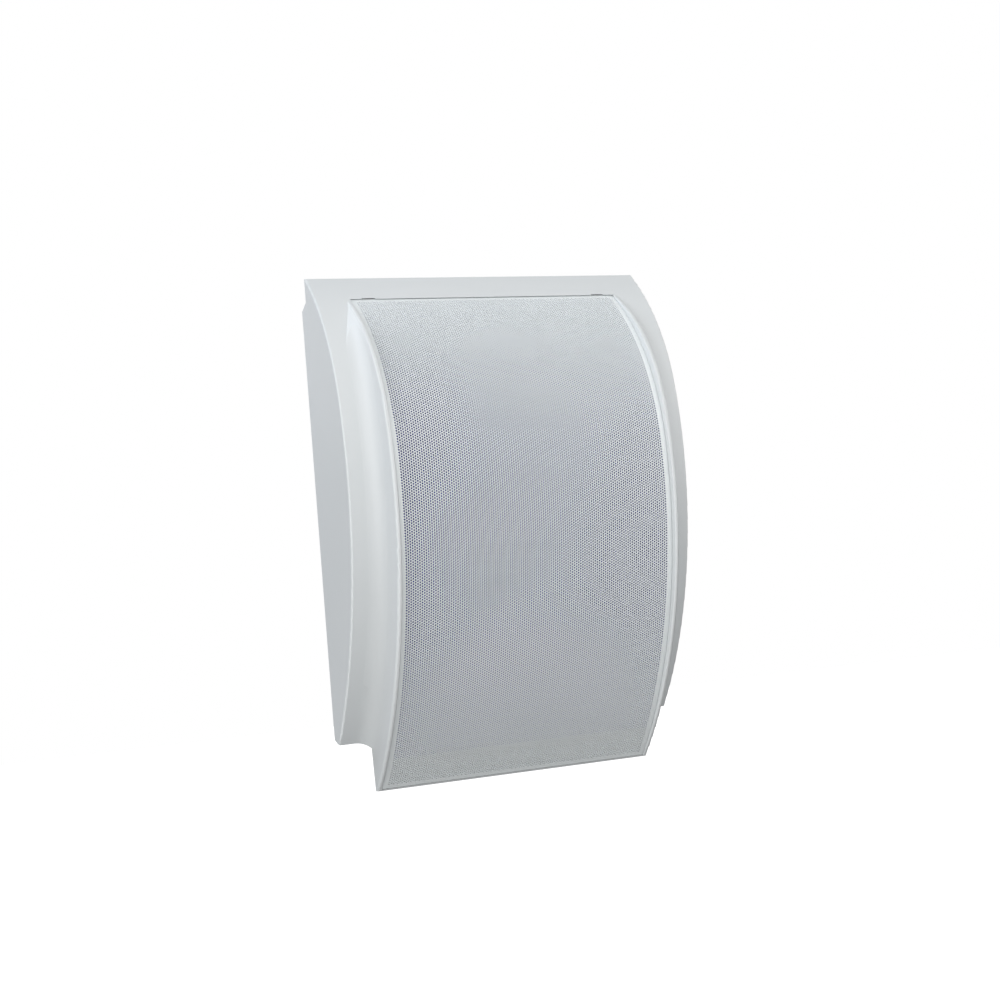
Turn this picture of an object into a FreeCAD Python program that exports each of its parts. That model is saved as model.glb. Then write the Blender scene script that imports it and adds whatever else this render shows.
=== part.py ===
import FreeCAD, Part
import math
import os

import Sketcher

# Wall loudspeaker in millimetres: X to the right, Y towards the wall, Z up.
# The wall plane is Y = 0 and the front is at negative Y, so a depth d lies at Y = -d.

SIZES = {
    # housing, seen from the side
    "housing_width": 205.2,
    "housing_top": 130.0,
    "housing_bottom": 130.0,
    "back_top_setback": 17.0,
    "back_bottom_setback": 2.5,
    "top_step_height": 13.0,
    "top_edge_thickness": 1.2,
    "wall": 3.0,
    "edge_radius": 1.0,
    # bow of the side bands: a long arc that turns into a shoulder arc
    "band_depth": 56.9,
    "band_nose": 12.8,
    "band_low_depth": 7.3,
    "band_shoulder": 60.3,
    "band_high_depth": 9.2,
    # raised frame with its lower lip
    "flange_width": 18.1,
    "frame_rise": 20.5,
    "frame_nose": 1.9,
    "frame_low_depth": 13.5,
    "frame_shoulder": 46.5,
    "frame_high_depth": 17.5,
    "frame_top_setback": 11.0,
    "lip_drop": 27.2,
    "lip_rear": 9.0,
    "lip_tip_rear": 11.0,
    "rim_width": 2.7,
    "rim_radius": 1.2,
    "rim_inner_radius": 0.7,
    "cove_radius": 9.0,
    # front opening and the ledge that the grille sits on
    "opening_top_margin": 3.0,
    "opening_bottom_margin": 1.0,
    "seat_margin": 4.5,
    "ledge_width": 3.0,
    "ledge_thickness": 3.0,
    "ledge_top_margin": 10.5,
    "ledge_bottom_margin": 16.2,
    "pry_slot_inset": 10.8,
    "pry_slot_length": 8.0,
    "pry_slot_height": 0.5,
    # grille
    "grille_recess": 3.3,
    "grille_nose": 5.6,
    "grille_low_depth": 14.2,
    "grille_shoulder": 25.0,
    "grille_high_depth": 21.5,
    "grille_sheet": 1.0,
    "grille_return": 4.0,
    "grille_gap": 0.2,
    "grille_top_gap": 0.3,
    "cloth_thickness": 0.6,
    "cloth_margin": 2.0,
    "cloth_clearance": 0.2,
    # rear cover
    "cover_thickness": 3.5,
    "cover_clearance": 0.3,
    "rib_width": 2.0,
    "rib_height": 5.0,
    "rib_place": 48.0,
    "rib_top": 62.0,
    "rib_bottom": 46.0,
    "keyhole_inset": 40.6,
    "keyhole_drop": 41.0,
    "keyhole_entry_radius": 4.75,
    "keyhole_slot_radius": 2.5,
    "keyhole_rise": 11.0,
    "cable_height": -60.0,
    "cable_hole_radius": 7.0,
    "cable_bore_radius": 4.0,
    "grommet_lip": 2.5,
    "grommet_recess": 1.5,
    "grommet_clearance": 0.2,
    "grommet_front_lip": 1.6,
    # screw posts of the housing
    "post_radius": 4.5,
    "post_inset": 9.6,
    "post_drop": 14.0,
    "post_lift": 13.5,
    "screw_radius": 1.75,
    "thread_clearance": 0.05,
    "screw_head_radius": 3.2,
    "screw_head_height": 2.0,
    "screw_clearance": 0.3,
    "cover_screw_length": 11.0,
    # baffle with its ears
    "baffle_setback": 10.9,
    "baffle_thickness": 5.0,
    "baffle_gap": 0.5,
    "baffle_top_margin": 15.0,
    "baffle_bottom_margin": 19.0,
    "ear_gap": 2.6,
    "ear_top": 60.0,
    "ear_bottom": 36.0,
    "ear_screw_margin": 9.5,
    "ear_screw_inset": 12.1,
    "ear_post_radius": 4.5,
    "baffle_screw_length": 8.0,
    # driver
    "driver_height": 0.0,
    "driver_radius": 65.0,
    "driver_flange": 8.0,
    "driver_screw_inset": 4.5,
    "driver_step": 6.0,
    "driver_clearance": 1.5,
    "basket_sheet": 1.2,
    "basket_clearance": 0.8,
    "spider_rim": 3.0,
    "spider_lift": 4.4,
    "neck_clearance": 1.0,
    "bore_clearance": 2.1,
    "window_margin_inner": 4.0,
    "window_margin_outer": 6.0,
    "window_angle": 40.0,
    "gasket_clearance": 0.7,
    "gasket_thickness": 2.6,
    "surround_sheet": 0.6,
    "surround_trim": 0.5,
    "surround_lip": 2.8,
    "roll_radius": 4.5,
    "roll_clearance": 0.5,
    "glue_gap": 0.2,
    "cone_sheet": 0.8,
    "cone_lift": 5.1,
    "dust_cap_lip": 4.7,
    "dust_cap_rise": 5.0,
    "coil_radius": 12.8,
    "former_wall": 0.3,
    "winding_wall": 0.4,
    "winding_length": 6.0,
    "former_reach": 6.5,
    "former_stand": 2.0,
    "spider_outer": 30.0,
    "spider_ring": 2.5,
    "spider_sheet": 0.6,
    "spider_wave": 1.2,
    "magnet_gap": 0.7,
    "pole_gap": 0.5,
    "top_plate_radius": 31.0,
    "top_plate_thickness": 3.5,
    "magnet_radius": 35.0,
    "magnet_bore_step": 4.1,
    "magnet_thickness": 10.0,
    "yoke_radius": 31.0,
    "yoke_thickness": 3.5,
    "driver_screw_length": 9.0,
    "tag_width": 16.0,
    "tag_height": 9.0,
    "tag_thickness": 1.5,
    "tag_clearance": 0.5,
    "lug_place": 5.0,
    "lug_width": 3.0,
    "lug_length": 4.0,
    "lug_thickness": 0.6,
    # line transformer and terminal block on the rear cover
    "plinth_lift": 32.5,
    "plinth_height": 4.0,
    "plinth_screw_length": 5.5,
    "transformer_place": 40.0,
    "core_width": 42.0,
    "core_height": 30.0,
    "core_stack": 14.0,
    "core_leg": 14.0,
    "core_yoke": 7.0,
    "bobbin_wall": 1.0,
    "bobbin_overhang": 5.0,
    "bobbin_clearance": 0.3,
    "clamp_sheet": 1.0,
    "clamp_ear": 9.0,
    "winding_inset": 0.6,
    "terminal_place": -42.0,
    "terminal_width": 34.0,
    "terminal_tall": 20.0,
    "terminal_thick": 12.0,
    "terminal_pitch": 10.0,
    "terminal_row": 4.5,
    "terminal_well_radius": 3.2,
    "terminal_screw_radius": 2.6,
    "terminal_screw_height": 2.0,
    "terminal_well_depth": 5.0,
    "terminal_ear": 8.0,
    "terminal_ear_tall": 12.0,
    "terminal_ear_thickness": 3.0,
}

doc = FreeCAD.newDocument("wall_speaker")
sheet = doc.addObject("Spreadsheet::Sheet", "sizes")
for row, (name, value) in enumerate(SIZES.items(), start=1):
    sheet.set(f"A{row}", name)
    sheet.set(f"B{row}", str(value))
    sheet.setAlias(f"B{row}", name)
results = doc.addObject("App::VarSet", "results")
doc.recompute()


class Size:
    """A length that knows its number now and the sheet expression that gives it."""

    def __init__(self, number, text):
        self.number = number
        self.text = text

    def __add__(self, other):
        other = as_size(other)
        return Size(self.number + other.number, f"({self.text} + {other.text})")

    def __sub__(self, other):
        other = as_size(other)
        return Size(self.number - other.number, f"({self.text} - {other.text})")

    def __mul__(self, other):
        other = as_size(other)
        return Size(self.number * other.number, f"({self.text} * {other.text})")

    def __truediv__(self, other):
        other = as_size(other)
        return Size(self.number / other.number, f"({self.text} / {other.text})")

    def __neg__(self):
        return Size(-self.number, f"(0 - {self.text})")


def as_size(value):
    return value if isinstance(value, Size) else Size(float(value), f"{float(value)}")


def size(name):
    return Size(SIZES[name], f"sizes.{name}")


def result(name, value):
    """A size worked out from the sheet, kept by name so that other sizes can use it."""
    results.addProperty("App::PropertyFloat", name)
    results.setExpression(name, value.text)
    return Size(value.number, f"results.{name}")


def smaller(first, second):
    return Size(min(first.number, second.number), f"min({first.text}; {second.text})")


def root(value):
    return Size(math.sqrt(value.number), f"sqrt({value.text})")


def turn_of(share):
    """The angle in degrees whose sine is a share."""
    return Size(math.degrees(math.asin(share.number)), f"asin({share.text})")


def sine(angle):
    return Size(math.sin(math.radians(angle.number)), f"sin({angle.text})")


def cosine(angle):
    return Size(math.cos(math.radians(angle.number)), f"cos({angle.text})")


ZERO = as_size(0)
QUARTER = math.sqrt(0.5)


class Bow:
    """A bowed front in the side view: a long arc with its nose at a height, then a shoulder arc."""

    def __init__(self, nose_depth, nose, radius, shoulder, shoulder_radius):
        self.nose_depth = nose_depth
        self.nose = nose
        self.radius = radius
        self.shoulder = shoulder
        self.shoulder_radius = shoulder_radius

    @classmethod
    def named(cls, prefix, nose_depth, low, high):
        """A bow through its nose, its named depths at a low and a high end, and smooth at the shoulder."""
        nose = size(f"{prefix}_nose")
        shoulder = size(f"{prefix}_shoulder")
        rise = nose - low
        drop = nose_depth - size(f"{prefix}_low_depth")
        radius = result(f"{prefix}_radius", (rise * rise + drop * drop) / (drop * 2))
        climb = shoulder - nose
        reach = result(f"{prefix}_shoulder_reach", root(radius * radius - climb * climb))
        fall = nose_depth - radius + reach - size(f"{prefix}_high_depth")
        height = high - shoulder
        bend = (fall * reach - height * climb) * 2 / radius
        shoulder_radius = result(f"{prefix}_shoulder_radius", (fall * fall + height * height) / bend)
        return cls(nose_depth, nose, radius, shoulder, shoulder_radius)

    def inset(self, distance):
        rise = (self.shoulder - self.nose) / self.radius
        radius = self.radius - distance
        shoulder = self.nose + radius * rise
        return Bow(self.nose_depth - distance, self.nose, radius, shoulder, self.shoulder_radius - distance)

    def low_depth(self, height):
        rise = height - self.nose
        return self.nose_depth - self.radius + root(self.radius * self.radius - rise * rise)

    def long_centre(self):
        return self.nose_depth - self.radius, self.nose

    def upper_centre(self):
        share = self.shoulder_radius / self.radius
        depth, height = self.long_centre()
        top = self.low_depth(self.shoulder)
        return top - share * (top - depth), self.shoulder - share * (self.shoulder - height)

    def sweeps(self, low, high):
        """The two arcs as radius, centre, angle from the shoulder and whether it goes upwards."""
        tilt = self.tilt()
        upper = self.upper_centre()
        down = tilt + turn_of((self.nose - low) / self.radius)
        up = turn_of((high - upper[1]) / self.shoulder_radius) - tilt
        return [(self.radius, self.long_centre(), down, False), (self.shoulder_radius, upper, up, True)]

    def tilt(self):
        return turn_of((self.shoulder - self.nose) / self.radius)

    def high_depth(self, height):
        centre_depth, centre_height = self.upper_centre()
        rise = height - centre_height
        return centre_depth + root(self.shoulder_radius * self.shoulder_radius - rise * rise)

    def depth(self, height):
        height = as_size(height)
        return self.low_depth(height) if height.number < self.shoulder.number else self.high_depth(height)

    def corner(self, height):
        height = as_size(height)
        return (-self.depth(height), height)

    def rising(self, low, high):
        """Corners and arcs of the bow from a low height up to a high one."""
        corners = [self.corner(low), self.corner(self.shoulder), self.corner(high)]
        arcs = [
            (self.radius, self.corner((as_size(low) + self.shoulder) / 2)),
            (self.shoulder_radius, self.corner((as_size(high) + self.shoulder) / 2)),
        ]
        return corners, arcs


def new_body(label):
    body = doc.addObject("PartDesign::Body", label)
    body.Label = label
    return body


def new_sketch(body, role, depth=None):
    """A sketch on one of the body's origin planes; on the front plane it may lie at a depth."""
    sketch = body.newObject("Sketcher::SketchObject", body.Label + "_sketch")
    plane = next(item for item in body.Origin.OriginFeatures if item.Role == role)
    sketch.AttachmentSupport = (plane, [""])
    sketch.MapMode = "FlatFace"
    if depth is not None:
        sketch.AttachmentOffset = FreeCAD.Placement(FreeCAD.Vector(0, 0, depth.number), FreeCAD.Rotation())
        sketch.setExpression("AttachmentOffset.Base.z", depth.text)
    return sketch


def side_sketch(body):
    return new_sketch(body, "YZ_Plane")


def front_sketch(body, depth):
    return new_sketch(body, "XZ_Plane", as_size(depth))


def vector(corner):
    return FreeCAD.Vector(as_size(corner[0]).number, as_size(corner[1]).number, 0)


def bound(sketch, kind, *targets, value):
    """Add a dimension to a sketch and tie it to the sheet."""
    value = as_size(value)
    index = sketch.addConstraint(Sketcher.Constraint(kind, *targets, value.number))
    sketch.setExpression(f"Constraints[{index}]", value.text)


def draw_outline(sketch, corners, arcs=None):
    """A closed outline through its corners; arcs maps a side's index to its radius and middle."""
    arcs = arcs or {}
    ends = []
    for index, corner in enumerate(corners):
        start = vector(corner)
        stop = vector(corners[(index + 1) % len(corners)])
        if index in arcs:
            curve = Part.Arc(start, vector(arcs[index][1]), stop)
        else:
            curve = Part.LineSegment(start, stop)
        side = sketch.addGeometry(curve)
        as_drawn = sketch.getPoint(side, 1).distanceToPoint(start) < 1e-4
        ends.append((side, 1, 2) if as_drawn else (side, 2, 1))
    for index, (side, first, last) in enumerate(ends):
        follower, follower_first, _ = ends[(index + 1) % len(ends)]
        sketch.addConstraint(Sketcher.Constraint("Coincident", side, last, follower, follower_first))
        bound(sketch, "DistanceX", -1, 1, side, first, value=corners[index][0])
        bound(sketch, "DistanceY", -1, 1, side, first, value=corners[index][1])
        if index in arcs:
            bound(sketch, "Radius", side, value=arcs[index][0])


def draw_box(sketch, left, right, bottom, top):
    draw_outline(sketch, [(left, bottom), (right, bottom), (right, top), (left, top)])


def draw_circle(sketch, x, z, radius):
    centre = vector((x, z))
    side = sketch.addGeometry(Part.Circle(centre, FreeCAD.Vector(0, 0, 1), as_size(radius).number))
    bound(sketch, "DistanceX", -1, 1, side, 3, value=x)
    bound(sketch, "DistanceY", -1, 1, side, 3, value=z)
    bound(sketch, "Radius", side, value=radius)


def pad(body, sketch, length, both=False, backwards=False):
    """Add material towards the front, backwards, or half to each side."""
    feature = body.newObject("PartDesign::Pad", body.Label + "_pad")
    feature.Profile = sketch
    feature.SideType = "Symmetric" if both else "One side"
    feature.Reversed = backwards
    feature.setExpression("Length", as_size(length).text)
    return feature


def pocket(body, sketch, length=None, towards_front=True):
    """Cut from the sketch towards the front or the wall, through all when no length is given."""
    feature = body.newObject("PartDesign::Pocket", body.Label + "_pocket")
    feature.Profile = sketch
    feature.Reversed = towards_front
    if length is None:
        feature.Type = "ThroughAll"
    else:
        feature.setExpression("Length", as_size(length).text)
    return feature


def revolve(body, sketch):
    """Turn a profile about the level axis of its sketch."""
    feature = body.newObject("PartDesign::Revolution", body.Label + "_turn")
    feature.Profile = sketch
    feature.ReferenceAxis = (sketch, ["H_Axis"])
    feature.Angle = 360.0
    return feature


def round_edges(body, base, radius, chosen):
    """Round the edges of a feature for which the test holds."""
    doc.recompute()
    names = [f"Edge{number}" for number, edge in enumerate(base.Shape.Edges, 1) if chosen(edge)]
    feature = body.newObject("PartDesign::Fillet", body.Label + "_round")
    feature.Base = (base, names)
    feature.setExpression("Radius", as_size(radius).text)
    return feature


def place(item, x=None, y=None, z=None):
    for axis, value in (("x", x), ("y", y), ("z", z)):
        if value is not None:
            item.setExpression(f"Placement.Base.{axis}", as_size(value).text)


def cylinder(name, x, depth, z, radius, length):
    """A round bar whose rear end is at a depth and that runs towards the front."""
    item = doc.addObject("Part::Cylinder", name)
    item.Placement = FreeCAD.Placement(
        FreeCAD.Vector(0, 0, 0), FreeCAD.Rotation(FreeCAD.Vector(1, 0, 0), 90)
    )
    item.setExpression("Radius", as_size(radius).text)
    item.setExpression("Height", as_size(length).text)
    place(item, x, -as_size(depth), z)
    return item


def screw_group(label, spots, head_depth, length, facing_wall=True):
    """Pan-head screws: heads at a depth, shanks towards the front, or towards the wall."""
    screws = []
    head_height = size("screw_head_height")
    for x, z in spots:
        if facing_wall:
            head_start = as_size(head_depth) - head_height
            shank_start = as_size(head_depth)
        else:
            head_start = as_size(head_depth)
            shank_start = as_size(head_depth) - length
        head = cylinder(label + "_head", x, head_start, z, size("screw_head_radius"), head_height)
        shank = cylinder(label + "_shank", x, shank_start, z, size("screw_radius"), length)
        screw = doc.addObject("Part::Fuse", label + "_screw")
        screw.Base = head
        screw.Tool = shank
        screws.append(screw)
    group = doc.addObject("Part::Compound", label)
    group.Label = label
    group.Links = screws
    return group


def mirrored_pair(x, z):
    return [(as_size(x), as_size(z)), (-as_size(x), as_size(z))]


half_width = size("housing_width") / 2
inner_half_width = half_width - size("wall")
back_top = size("housing_top") - size("back_top_setback")
back_bottom = size("housing_bottom") - size("back_bottom_setback")
top_step = size("housing_top") - size("top_step_height")
frame_width = size("housing_width") - size("flange_width") * 2
frame_top = size("housing_top") - size("frame_top_setback")
frame_bottom = size("housing_bottom") + size("lip_drop")
frame_depth = size("band_depth") + size("frame_rise")
opening_width = frame_width - size("rim_width") * 2
opening_top = frame_top - size("opening_top_margin")
opening_bottom = frame_bottom - size("opening_bottom_margin")
ledge_top = opening_top - size("ledge_top_margin")
ledge_bottom = opening_bottom - size("ledge_bottom_margin")
grille_top = opening_top - size("grille_top_gap")
grille_bottom = -(opening_bottom - size("grille_gap"))
grille_depth = frame_depth - size("grille_recess")
pry_slot_place = opening_width / 2 - size("pry_slot_inset")
band = Bow.named("band", size("band_depth"), -size("housing_bottom"), size("housing_top"))
frame = Bow.named("frame", frame_depth, -frame_bottom, frame_top)
grille_front = Bow.named("grille", grille_depth, grille_bottom, grille_top)

keyhole_place = half_width - size("keyhole_inset")
keyhole_height = back_top - size("keyhole_drop")
post_place = half_width - size("post_inset")
post_height_top = back_top - size("post_drop")
post_height_bottom = size("post_lift") - back_bottom
transformer_height = size("plinth_lift") - back_bottom
terminal_height = transformer_height
baffle_depth = size("band_depth") - size("baffle_setback")
baffle_width = opening_width - size("baffle_gap") * 2
baffle_top = size("driver_height") + size("driver_radius") + size("baffle_top_margin")
baffle_bottom = size("driver_radius") + size("baffle_bottom_margin") - size("driver_height")
ear_reach = inner_half_width - size("ear_gap")
ear_screw_place = half_width - size("ear_screw_inset")
ear_screw_top = size("ear_top") - size("ear_screw_margin")
ear_screw_bottom = size("ear_screw_margin") - size("ear_bottom")

yoke_rear = size("cover_thickness") + size("driver_clearance")
magnet_rear = yoke_rear + size("yoke_thickness")
top_plate_rear = magnet_rear + size("magnet_thickness")
top_plate_depth = top_plate_rear + size("top_plate_thickness")
spider_seat_depth = top_plate_depth + size("spider_lift")
cone_neck_depth = spider_seat_depth + size("cone_lift")
former_rear_depth = top_plate_depth - size("former_reach")
plate_bore = size("coil_radius") + size("winding_wall") + size("magnet_gap")
magnet_bore = plate_bore + size("magnet_bore_step")
basket_bore = plate_bore + size("bore_clearance")
basket_ledge_radius = size("spider_outer") + size("spider_rim")
basket_neck_inside = size("spider_outer") - size("spider_ring") - size("neck_clearance")
basket_neck_radius = basket_neck_inside + size("basket_sheet")
driver_seat_radius = size("driver_radius") - size("driver_flange")
driver_screw_circle = size("driver_radius") - size("driver_screw_inset")
window_inner = basket_ledge_radius + size("window_margin_inner")
window_outer = driver_seat_radius - size("window_margin_outer")
roll_centre = driver_seat_radius - size("basket_sheet") - size("roll_clearance") - size("roll_radius")
surround_inner = roll_centre - size("roll_radius") - size("surround_lip")
dust_cap_radius = size("coil_radius") + size("dust_cap_lip")

cover_bottom = -(back_bottom - size("wall") - size("cover_clearance"))
cover_top = back_top - size("wall") - size("cover_clearance")
cover_screw_spots = mirrored_pair(post_place, post_height_top) + mirrored_pair(
    post_place, post_height_bottom
)
ear_screw_spots = mirrored_pair(ear_screw_place, ear_screw_top) + mirrored_pair(
    ear_screw_place, ear_screw_bottom
)

pilot_radius = size("screw_radius") + size("thread_clearance")
baffle_rear = baffle_depth - size("baffle_thickness")
flange_front = baffle_depth + size("basket_sheet")
diagonal = driver_screw_circle * QUARTER
driver_screw_spots = mirrored_pair(diagonal, diagonal) + mirrored_pair(diagonal, -diagonal)
plinth_top = size("cover_thickness") + size("plinth_height")
clamp_reach = size("core_width") / 2 + size("bobbin_clearance") + size("clamp_sheet")
transformer_screw_spots = [
    (size("transformer_place") + (clamp_reach + size("clamp_ear") / 2) * side, transformer_height)
    for side in (1, -1)
]
terminal_ear_spots = [
    (size("terminal_place") + (size("terminal_width") + size("terminal_ear")) / 2 * side, terminal_height)
    for side in (1, -1)
]
terminal_wells = [
    (size("terminal_pitch") * column, size("terminal_row") * row)
    for column in (-1, 0, 1) for row in (-1, 1)
]
well_floor = size("terminal_thick") - size("terminal_well_depth")
PLINTHS = [
    (
        size("transformer_place"), transformer_height,
        (clamp_reach + size("clamp_ear")) * 2, size("core_stack"),
    ),
    (
        size("terminal_place"), terminal_height,
        size("terminal_width") + size("terminal_ear") * 2, size("terminal_tall"),
    ),
]
BASKET_WINDOWS = 6
SPIDER_PLEATS = 8


def sheet_outline(front, back, low, high):
    """A thin bowed sheet between a front and a back bow."""
    front_corners, front_arcs = front.rising(low, high)
    back_corners, back_arcs = back.rising(low, high)
    arcs = {0: front_arcs[0], 1: front_arcs[1], 3: back_arcs[1], 4: back_arcs[0]}
    return front_corners + back_corners[::-1], arcs


def bowed_outline(bow, low, high, rear_low, rear_high):
    """A bow from low to high, closed by a straight rear between two corners."""
    corners, arcs = bow.rising(low, high)
    return corners + [rear_high, rear_low], dict(enumerate(arcs))


def on_bow(edge, bow, side):
    """Whether an edge runs along a bow at a distance to the left or right of the middle."""
    box = edge.BoundBox
    if abs(abs(box.XMin) - side) > 1e-3 or box.XLength > 1e-3:
        return False
    middle = edge.valueAt((edge.FirstParameter + edge.LastParameter) / 2)
    return abs(middle.y + bow.depth(middle.z).number) < 1e-3


def make_frame_block():
    """The raised frame as a solid block with rounded front edges and a lip that thins downwards."""
    body = new_body("housing_frame")
    corners, arcs = frame.rising(-frame_bottom, frame_top)
    rear = [
        (-size("lip_rear"), frame_top), (-size("lip_rear"), -size("housing_bottom")),
        (-size("lip_tip_rear"), -frame_bottom),
    ]
    sketch = side_sketch(body)
    draw_outline(sketch, corners + rear, dict(enumerate(arcs)))
    block = pad(body, sketch, frame_width, both=True)
    side = frame_width.number / 2
    body.Tip = round_edges(body, block, size("rim_radius"), lambda edge: on_bow(edge, frame, side))
    return body


def make_box_block():
    """The bowed box that carries the frame, with a step at its upper back."""
    body = new_body("housing_box")
    sketch = side_sketch(body)
    corners, arcs = band.rising(-size("housing_bottom"), size("housing_top"))
    top_rear = size("top_edge_thickness") - band.depth(size("housing_top"))
    rear = [(top_rear, size("housing_top")), (top_rear, top_step), (ZERO, back_top), (ZERO, -back_bottom)]
    draw_outline(sketch, corners + rear, dict(enumerate(arcs)))
    block = pad(body, sketch, size("housing_width"), both=True)
    side = half_width.number
    body.Tip = round_edges(body, block, size("edge_radius"), lambda edge: on_bow(edge, band, side))
    return body


def turn_outline(body, outline, tilt, centre, turn, upwards):
    """Turn an outline along one arc of a bow, from the tilted plane at its shoulder."""
    depth, height = centre
    sketch = new_sketch(body, "XY_Plane")
    sketch.AttachmentOffset = FreeCAD.Placement(
        FreeCAD.Vector(0, -depth.number, height.number),
        FreeCAD.Rotation(FreeCAD.Vector(-1, 0, 0), tilt.number),
    )
    sketch.setExpression("AttachmentOffset.Base.y", (-depth).text)
    sketch.setExpression("AttachmentOffset.Base.z", height.text)
    sketch.setExpression("AttachmentOffset.Rotation.Angle", tilt.text)
    draw_outline(sketch, *outline)
    feature = revolve(body, sketch)
    feature.Reversed = upwards
    feature.setExpression("Angle", turn.text)
    return feature


def cove_outline(side, level):
    """A hollow round between the side band and the frame, seen along the band."""
    radius = smaller(size("cove_radius"), size("flange_width") - size("edge_radius"))
    foot = frame_width / 2
    sunk = size("rim_width") / 2
    bulge = radius * (1 - QUARTER)
    corners = [
        (foot - sunk, sunk - level), (foot + radius, sunk - level), (foot + radius, -level),
        (foot, -(level + radius)), (foot - sunk, -(level + radius)),
    ]
    middle = ((foot + bulge) * side, -(level + bulge))
    return [(x * side, y) for x, y in corners], {2: (radius, middle)}


def cove_limit_outline(level):
    """The frame's section with sides that fall outwards, so that a cove fades out with its wall."""
    foot = frame_width / 2
    reach = size("flange_width")
    right = [(foot, -level), (foot + reach, reach - level), (foot + reach, reach * 2 - level)]
    left = [(-x, y) for x, y in reversed(right)]
    return right + left, {}


def make_coves():
    """The coves beside the frame, kept below the rounding of its rim."""
    limit = new_body("cove_limit")
    surface = frame.inset(size("rim_radius"))
    for level, *sweep in surface.sweeps(-frame_bottom, frame_top):
        limit.Tip = turn_outline(limit, cove_limit_outline(level), surface.tilt(), *sweep)
    kept = []
    for side in (1, -1):
        for level, *sweep in band.sweeps(-size("housing_bottom"), frame_top):
            cove = new_body("housing_cove")
            turn_outline(cove, cove_outline(side, level), band.tilt(), *sweep)
            part = doc.addObject("Part::Common", "kept_cove")
            part.Base = cove
            part.Tool = limit
            kept.append(part)
    return kept


def make_core():
    """The hollow of the housing: inner space, ledge, front opening and pry slots, less the posts."""
    core = new_body("housing_core")
    rear_overlap = size("cover_thickness")
    inside = band.inset(size("wall"))
    low = size("wall") - back_bottom
    high = back_top - size("wall")
    sketch = side_sketch(core)
    draw_outline(sketch, *bowed_outline(inside, low, high, (rear_overlap, low), (rear_overlap, high)))
    pad(core, sketch, inner_half_width * 2, both=True)

    ledge = grille_front.inset(size("grille_return"))
    ledge_rear = ledge.inset(size("ledge_thickness"))
    lip_inside = -(size("lip_rear") + size("wall"))
    low = -ledge_bottom
    high = ledge_top
    rear_low = (lip_inside, low)
    rear_high = (lip_inside, high)
    sketch = side_sketch(core)
    draw_outline(sketch, *bowed_outline(ledge_rear, low, high, rear_low, rear_high))
    pad(core, sketch, opening_width, both=True)

    sketch = side_sketch(core)
    draw_outline(sketch, *bowed_outline(ledge, low, high, rear_low, rear_high))
    pad(core, sketch, opening_width - size("ledge_width") * 2, both=True)

    sketch = side_sketch(core)
    beyond = -(frame_depth + size("wall"))
    seat_end = size("seat_margin") - opening_bottom
    corners, arcs = ledge.rising(seat_end, opening_top)
    front = [(beyond, opening_top), (beyond, -opening_bottom), (-ledge.depth(seat_end), -opening_bottom)]
    draw_outline(sketch, corners + front, dict(enumerate(arcs)))
    pad(core, sketch, opening_width, both=True)

    half_slot = size("pry_slot_length") / 2
    slot_rear = band.depth(opening_top) - size("wall")
    for side in (1, -1):
        centre = pry_slot_place * side
        sketch = front_sketch(core, slot_rear)
        slot_top = opening_top + size("pry_slot_height")
        draw_box(sketch, centre - half_slot, centre + half_slot, opening_top - size("wall"), slot_top)
        pad(core, sketch, size("wall") * 2)

    sketch = front_sketch(core, size("cover_thickness"))
    for x, z in cover_screw_spots:
        draw_circle(sketch, x, z, size("post_radius"))
        draw_circle(sketch, x, z, pilot_radius)
    pocket(core, sketch)
    sketch = front_sketch(core, baffle_depth)
    for x, z in ear_screw_spots:
        draw_circle(sketch, x, z, size("ear_post_radius"))
        draw_circle(sketch, x, z, pilot_radius)
    core.Tip = pocket(core, sketch)
    return core


def make_front_housing():
    """One moulding: frame, box and coves joined, hollowed by the core, with a softened inner rim."""
    outer = doc.addObject("Part::MultiFuse", "housing_outer")
    outer.Shapes = [make_frame_block(), make_box_block()] + make_coves()
    hollowed = doc.addObject("Part::Cut", "housing_hollowed")
    hollowed.Base = outer
    hollowed.Tool = make_core()
    doc.recompute()
    body = new_body("front_housing")
    body.BaseFeature = hollowed
    doc.recompute()
    side = opening_width.number / 2
    base = body.Group[0]
    body.Tip = round_edges(body, base, size("rim_inner_radius"), lambda edge: on_bow(edge, frame, side))
    return body


def make_grille():
    """Bowed steel sheet with returns along both sides that stand on the housing's ledge."""
    body = new_body("grille")
    width = opening_width - size("grille_gap") * 2
    back = grille_front.inset(size("grille_sheet"))
    sketch = side_sketch(body)
    draw_outline(sketch, *sheet_outline(grille_front, back, grille_bottom, grille_top))
    pad(body, sketch, width, both=True)

    foot = grille_front.inset(size("grille_return"))
    low = -ledge_bottom
    high = ledge_top
    sketch = side_sketch(body)
    draw_outline(sketch, *sheet_outline(back, foot, low, high))
    pad(body, sketch, width, both=True)
    sketch = side_sketch(body)
    draw_outline(sketch, *sheet_outline(back, foot, low, high))
    hollow = body.newObject("PartDesign::Pocket", "grille_hollow")
    hollow.Profile = sketch
    hollow.SideType = "Symmetric"
    hollow.setExpression("Length", (width - size("grille_sheet") * 2).text)
    body.Tip = hollow
    return body


def make_grille_cloth():
    """Thin cloth glued behind the grille sheet, between the returns."""
    body = new_body("grille_cloth")
    front = grille_front.inset(size("grille_sheet") + size("cloth_clearance"))
    back = front.inset(size("cloth_thickness"))
    low = size("cloth_margin") - ledge_bottom
    high = ledge_top - size("cloth_margin")
    side_gap = size("grille_gap") + size("grille_sheet") + size("cloth_clearance")
    sketch = side_sketch(body)
    draw_outline(sketch, *sheet_outline(front, back, low, high))
    pad(body, sketch, opening_width - side_gap * 2, both=True)
    return body


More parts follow.
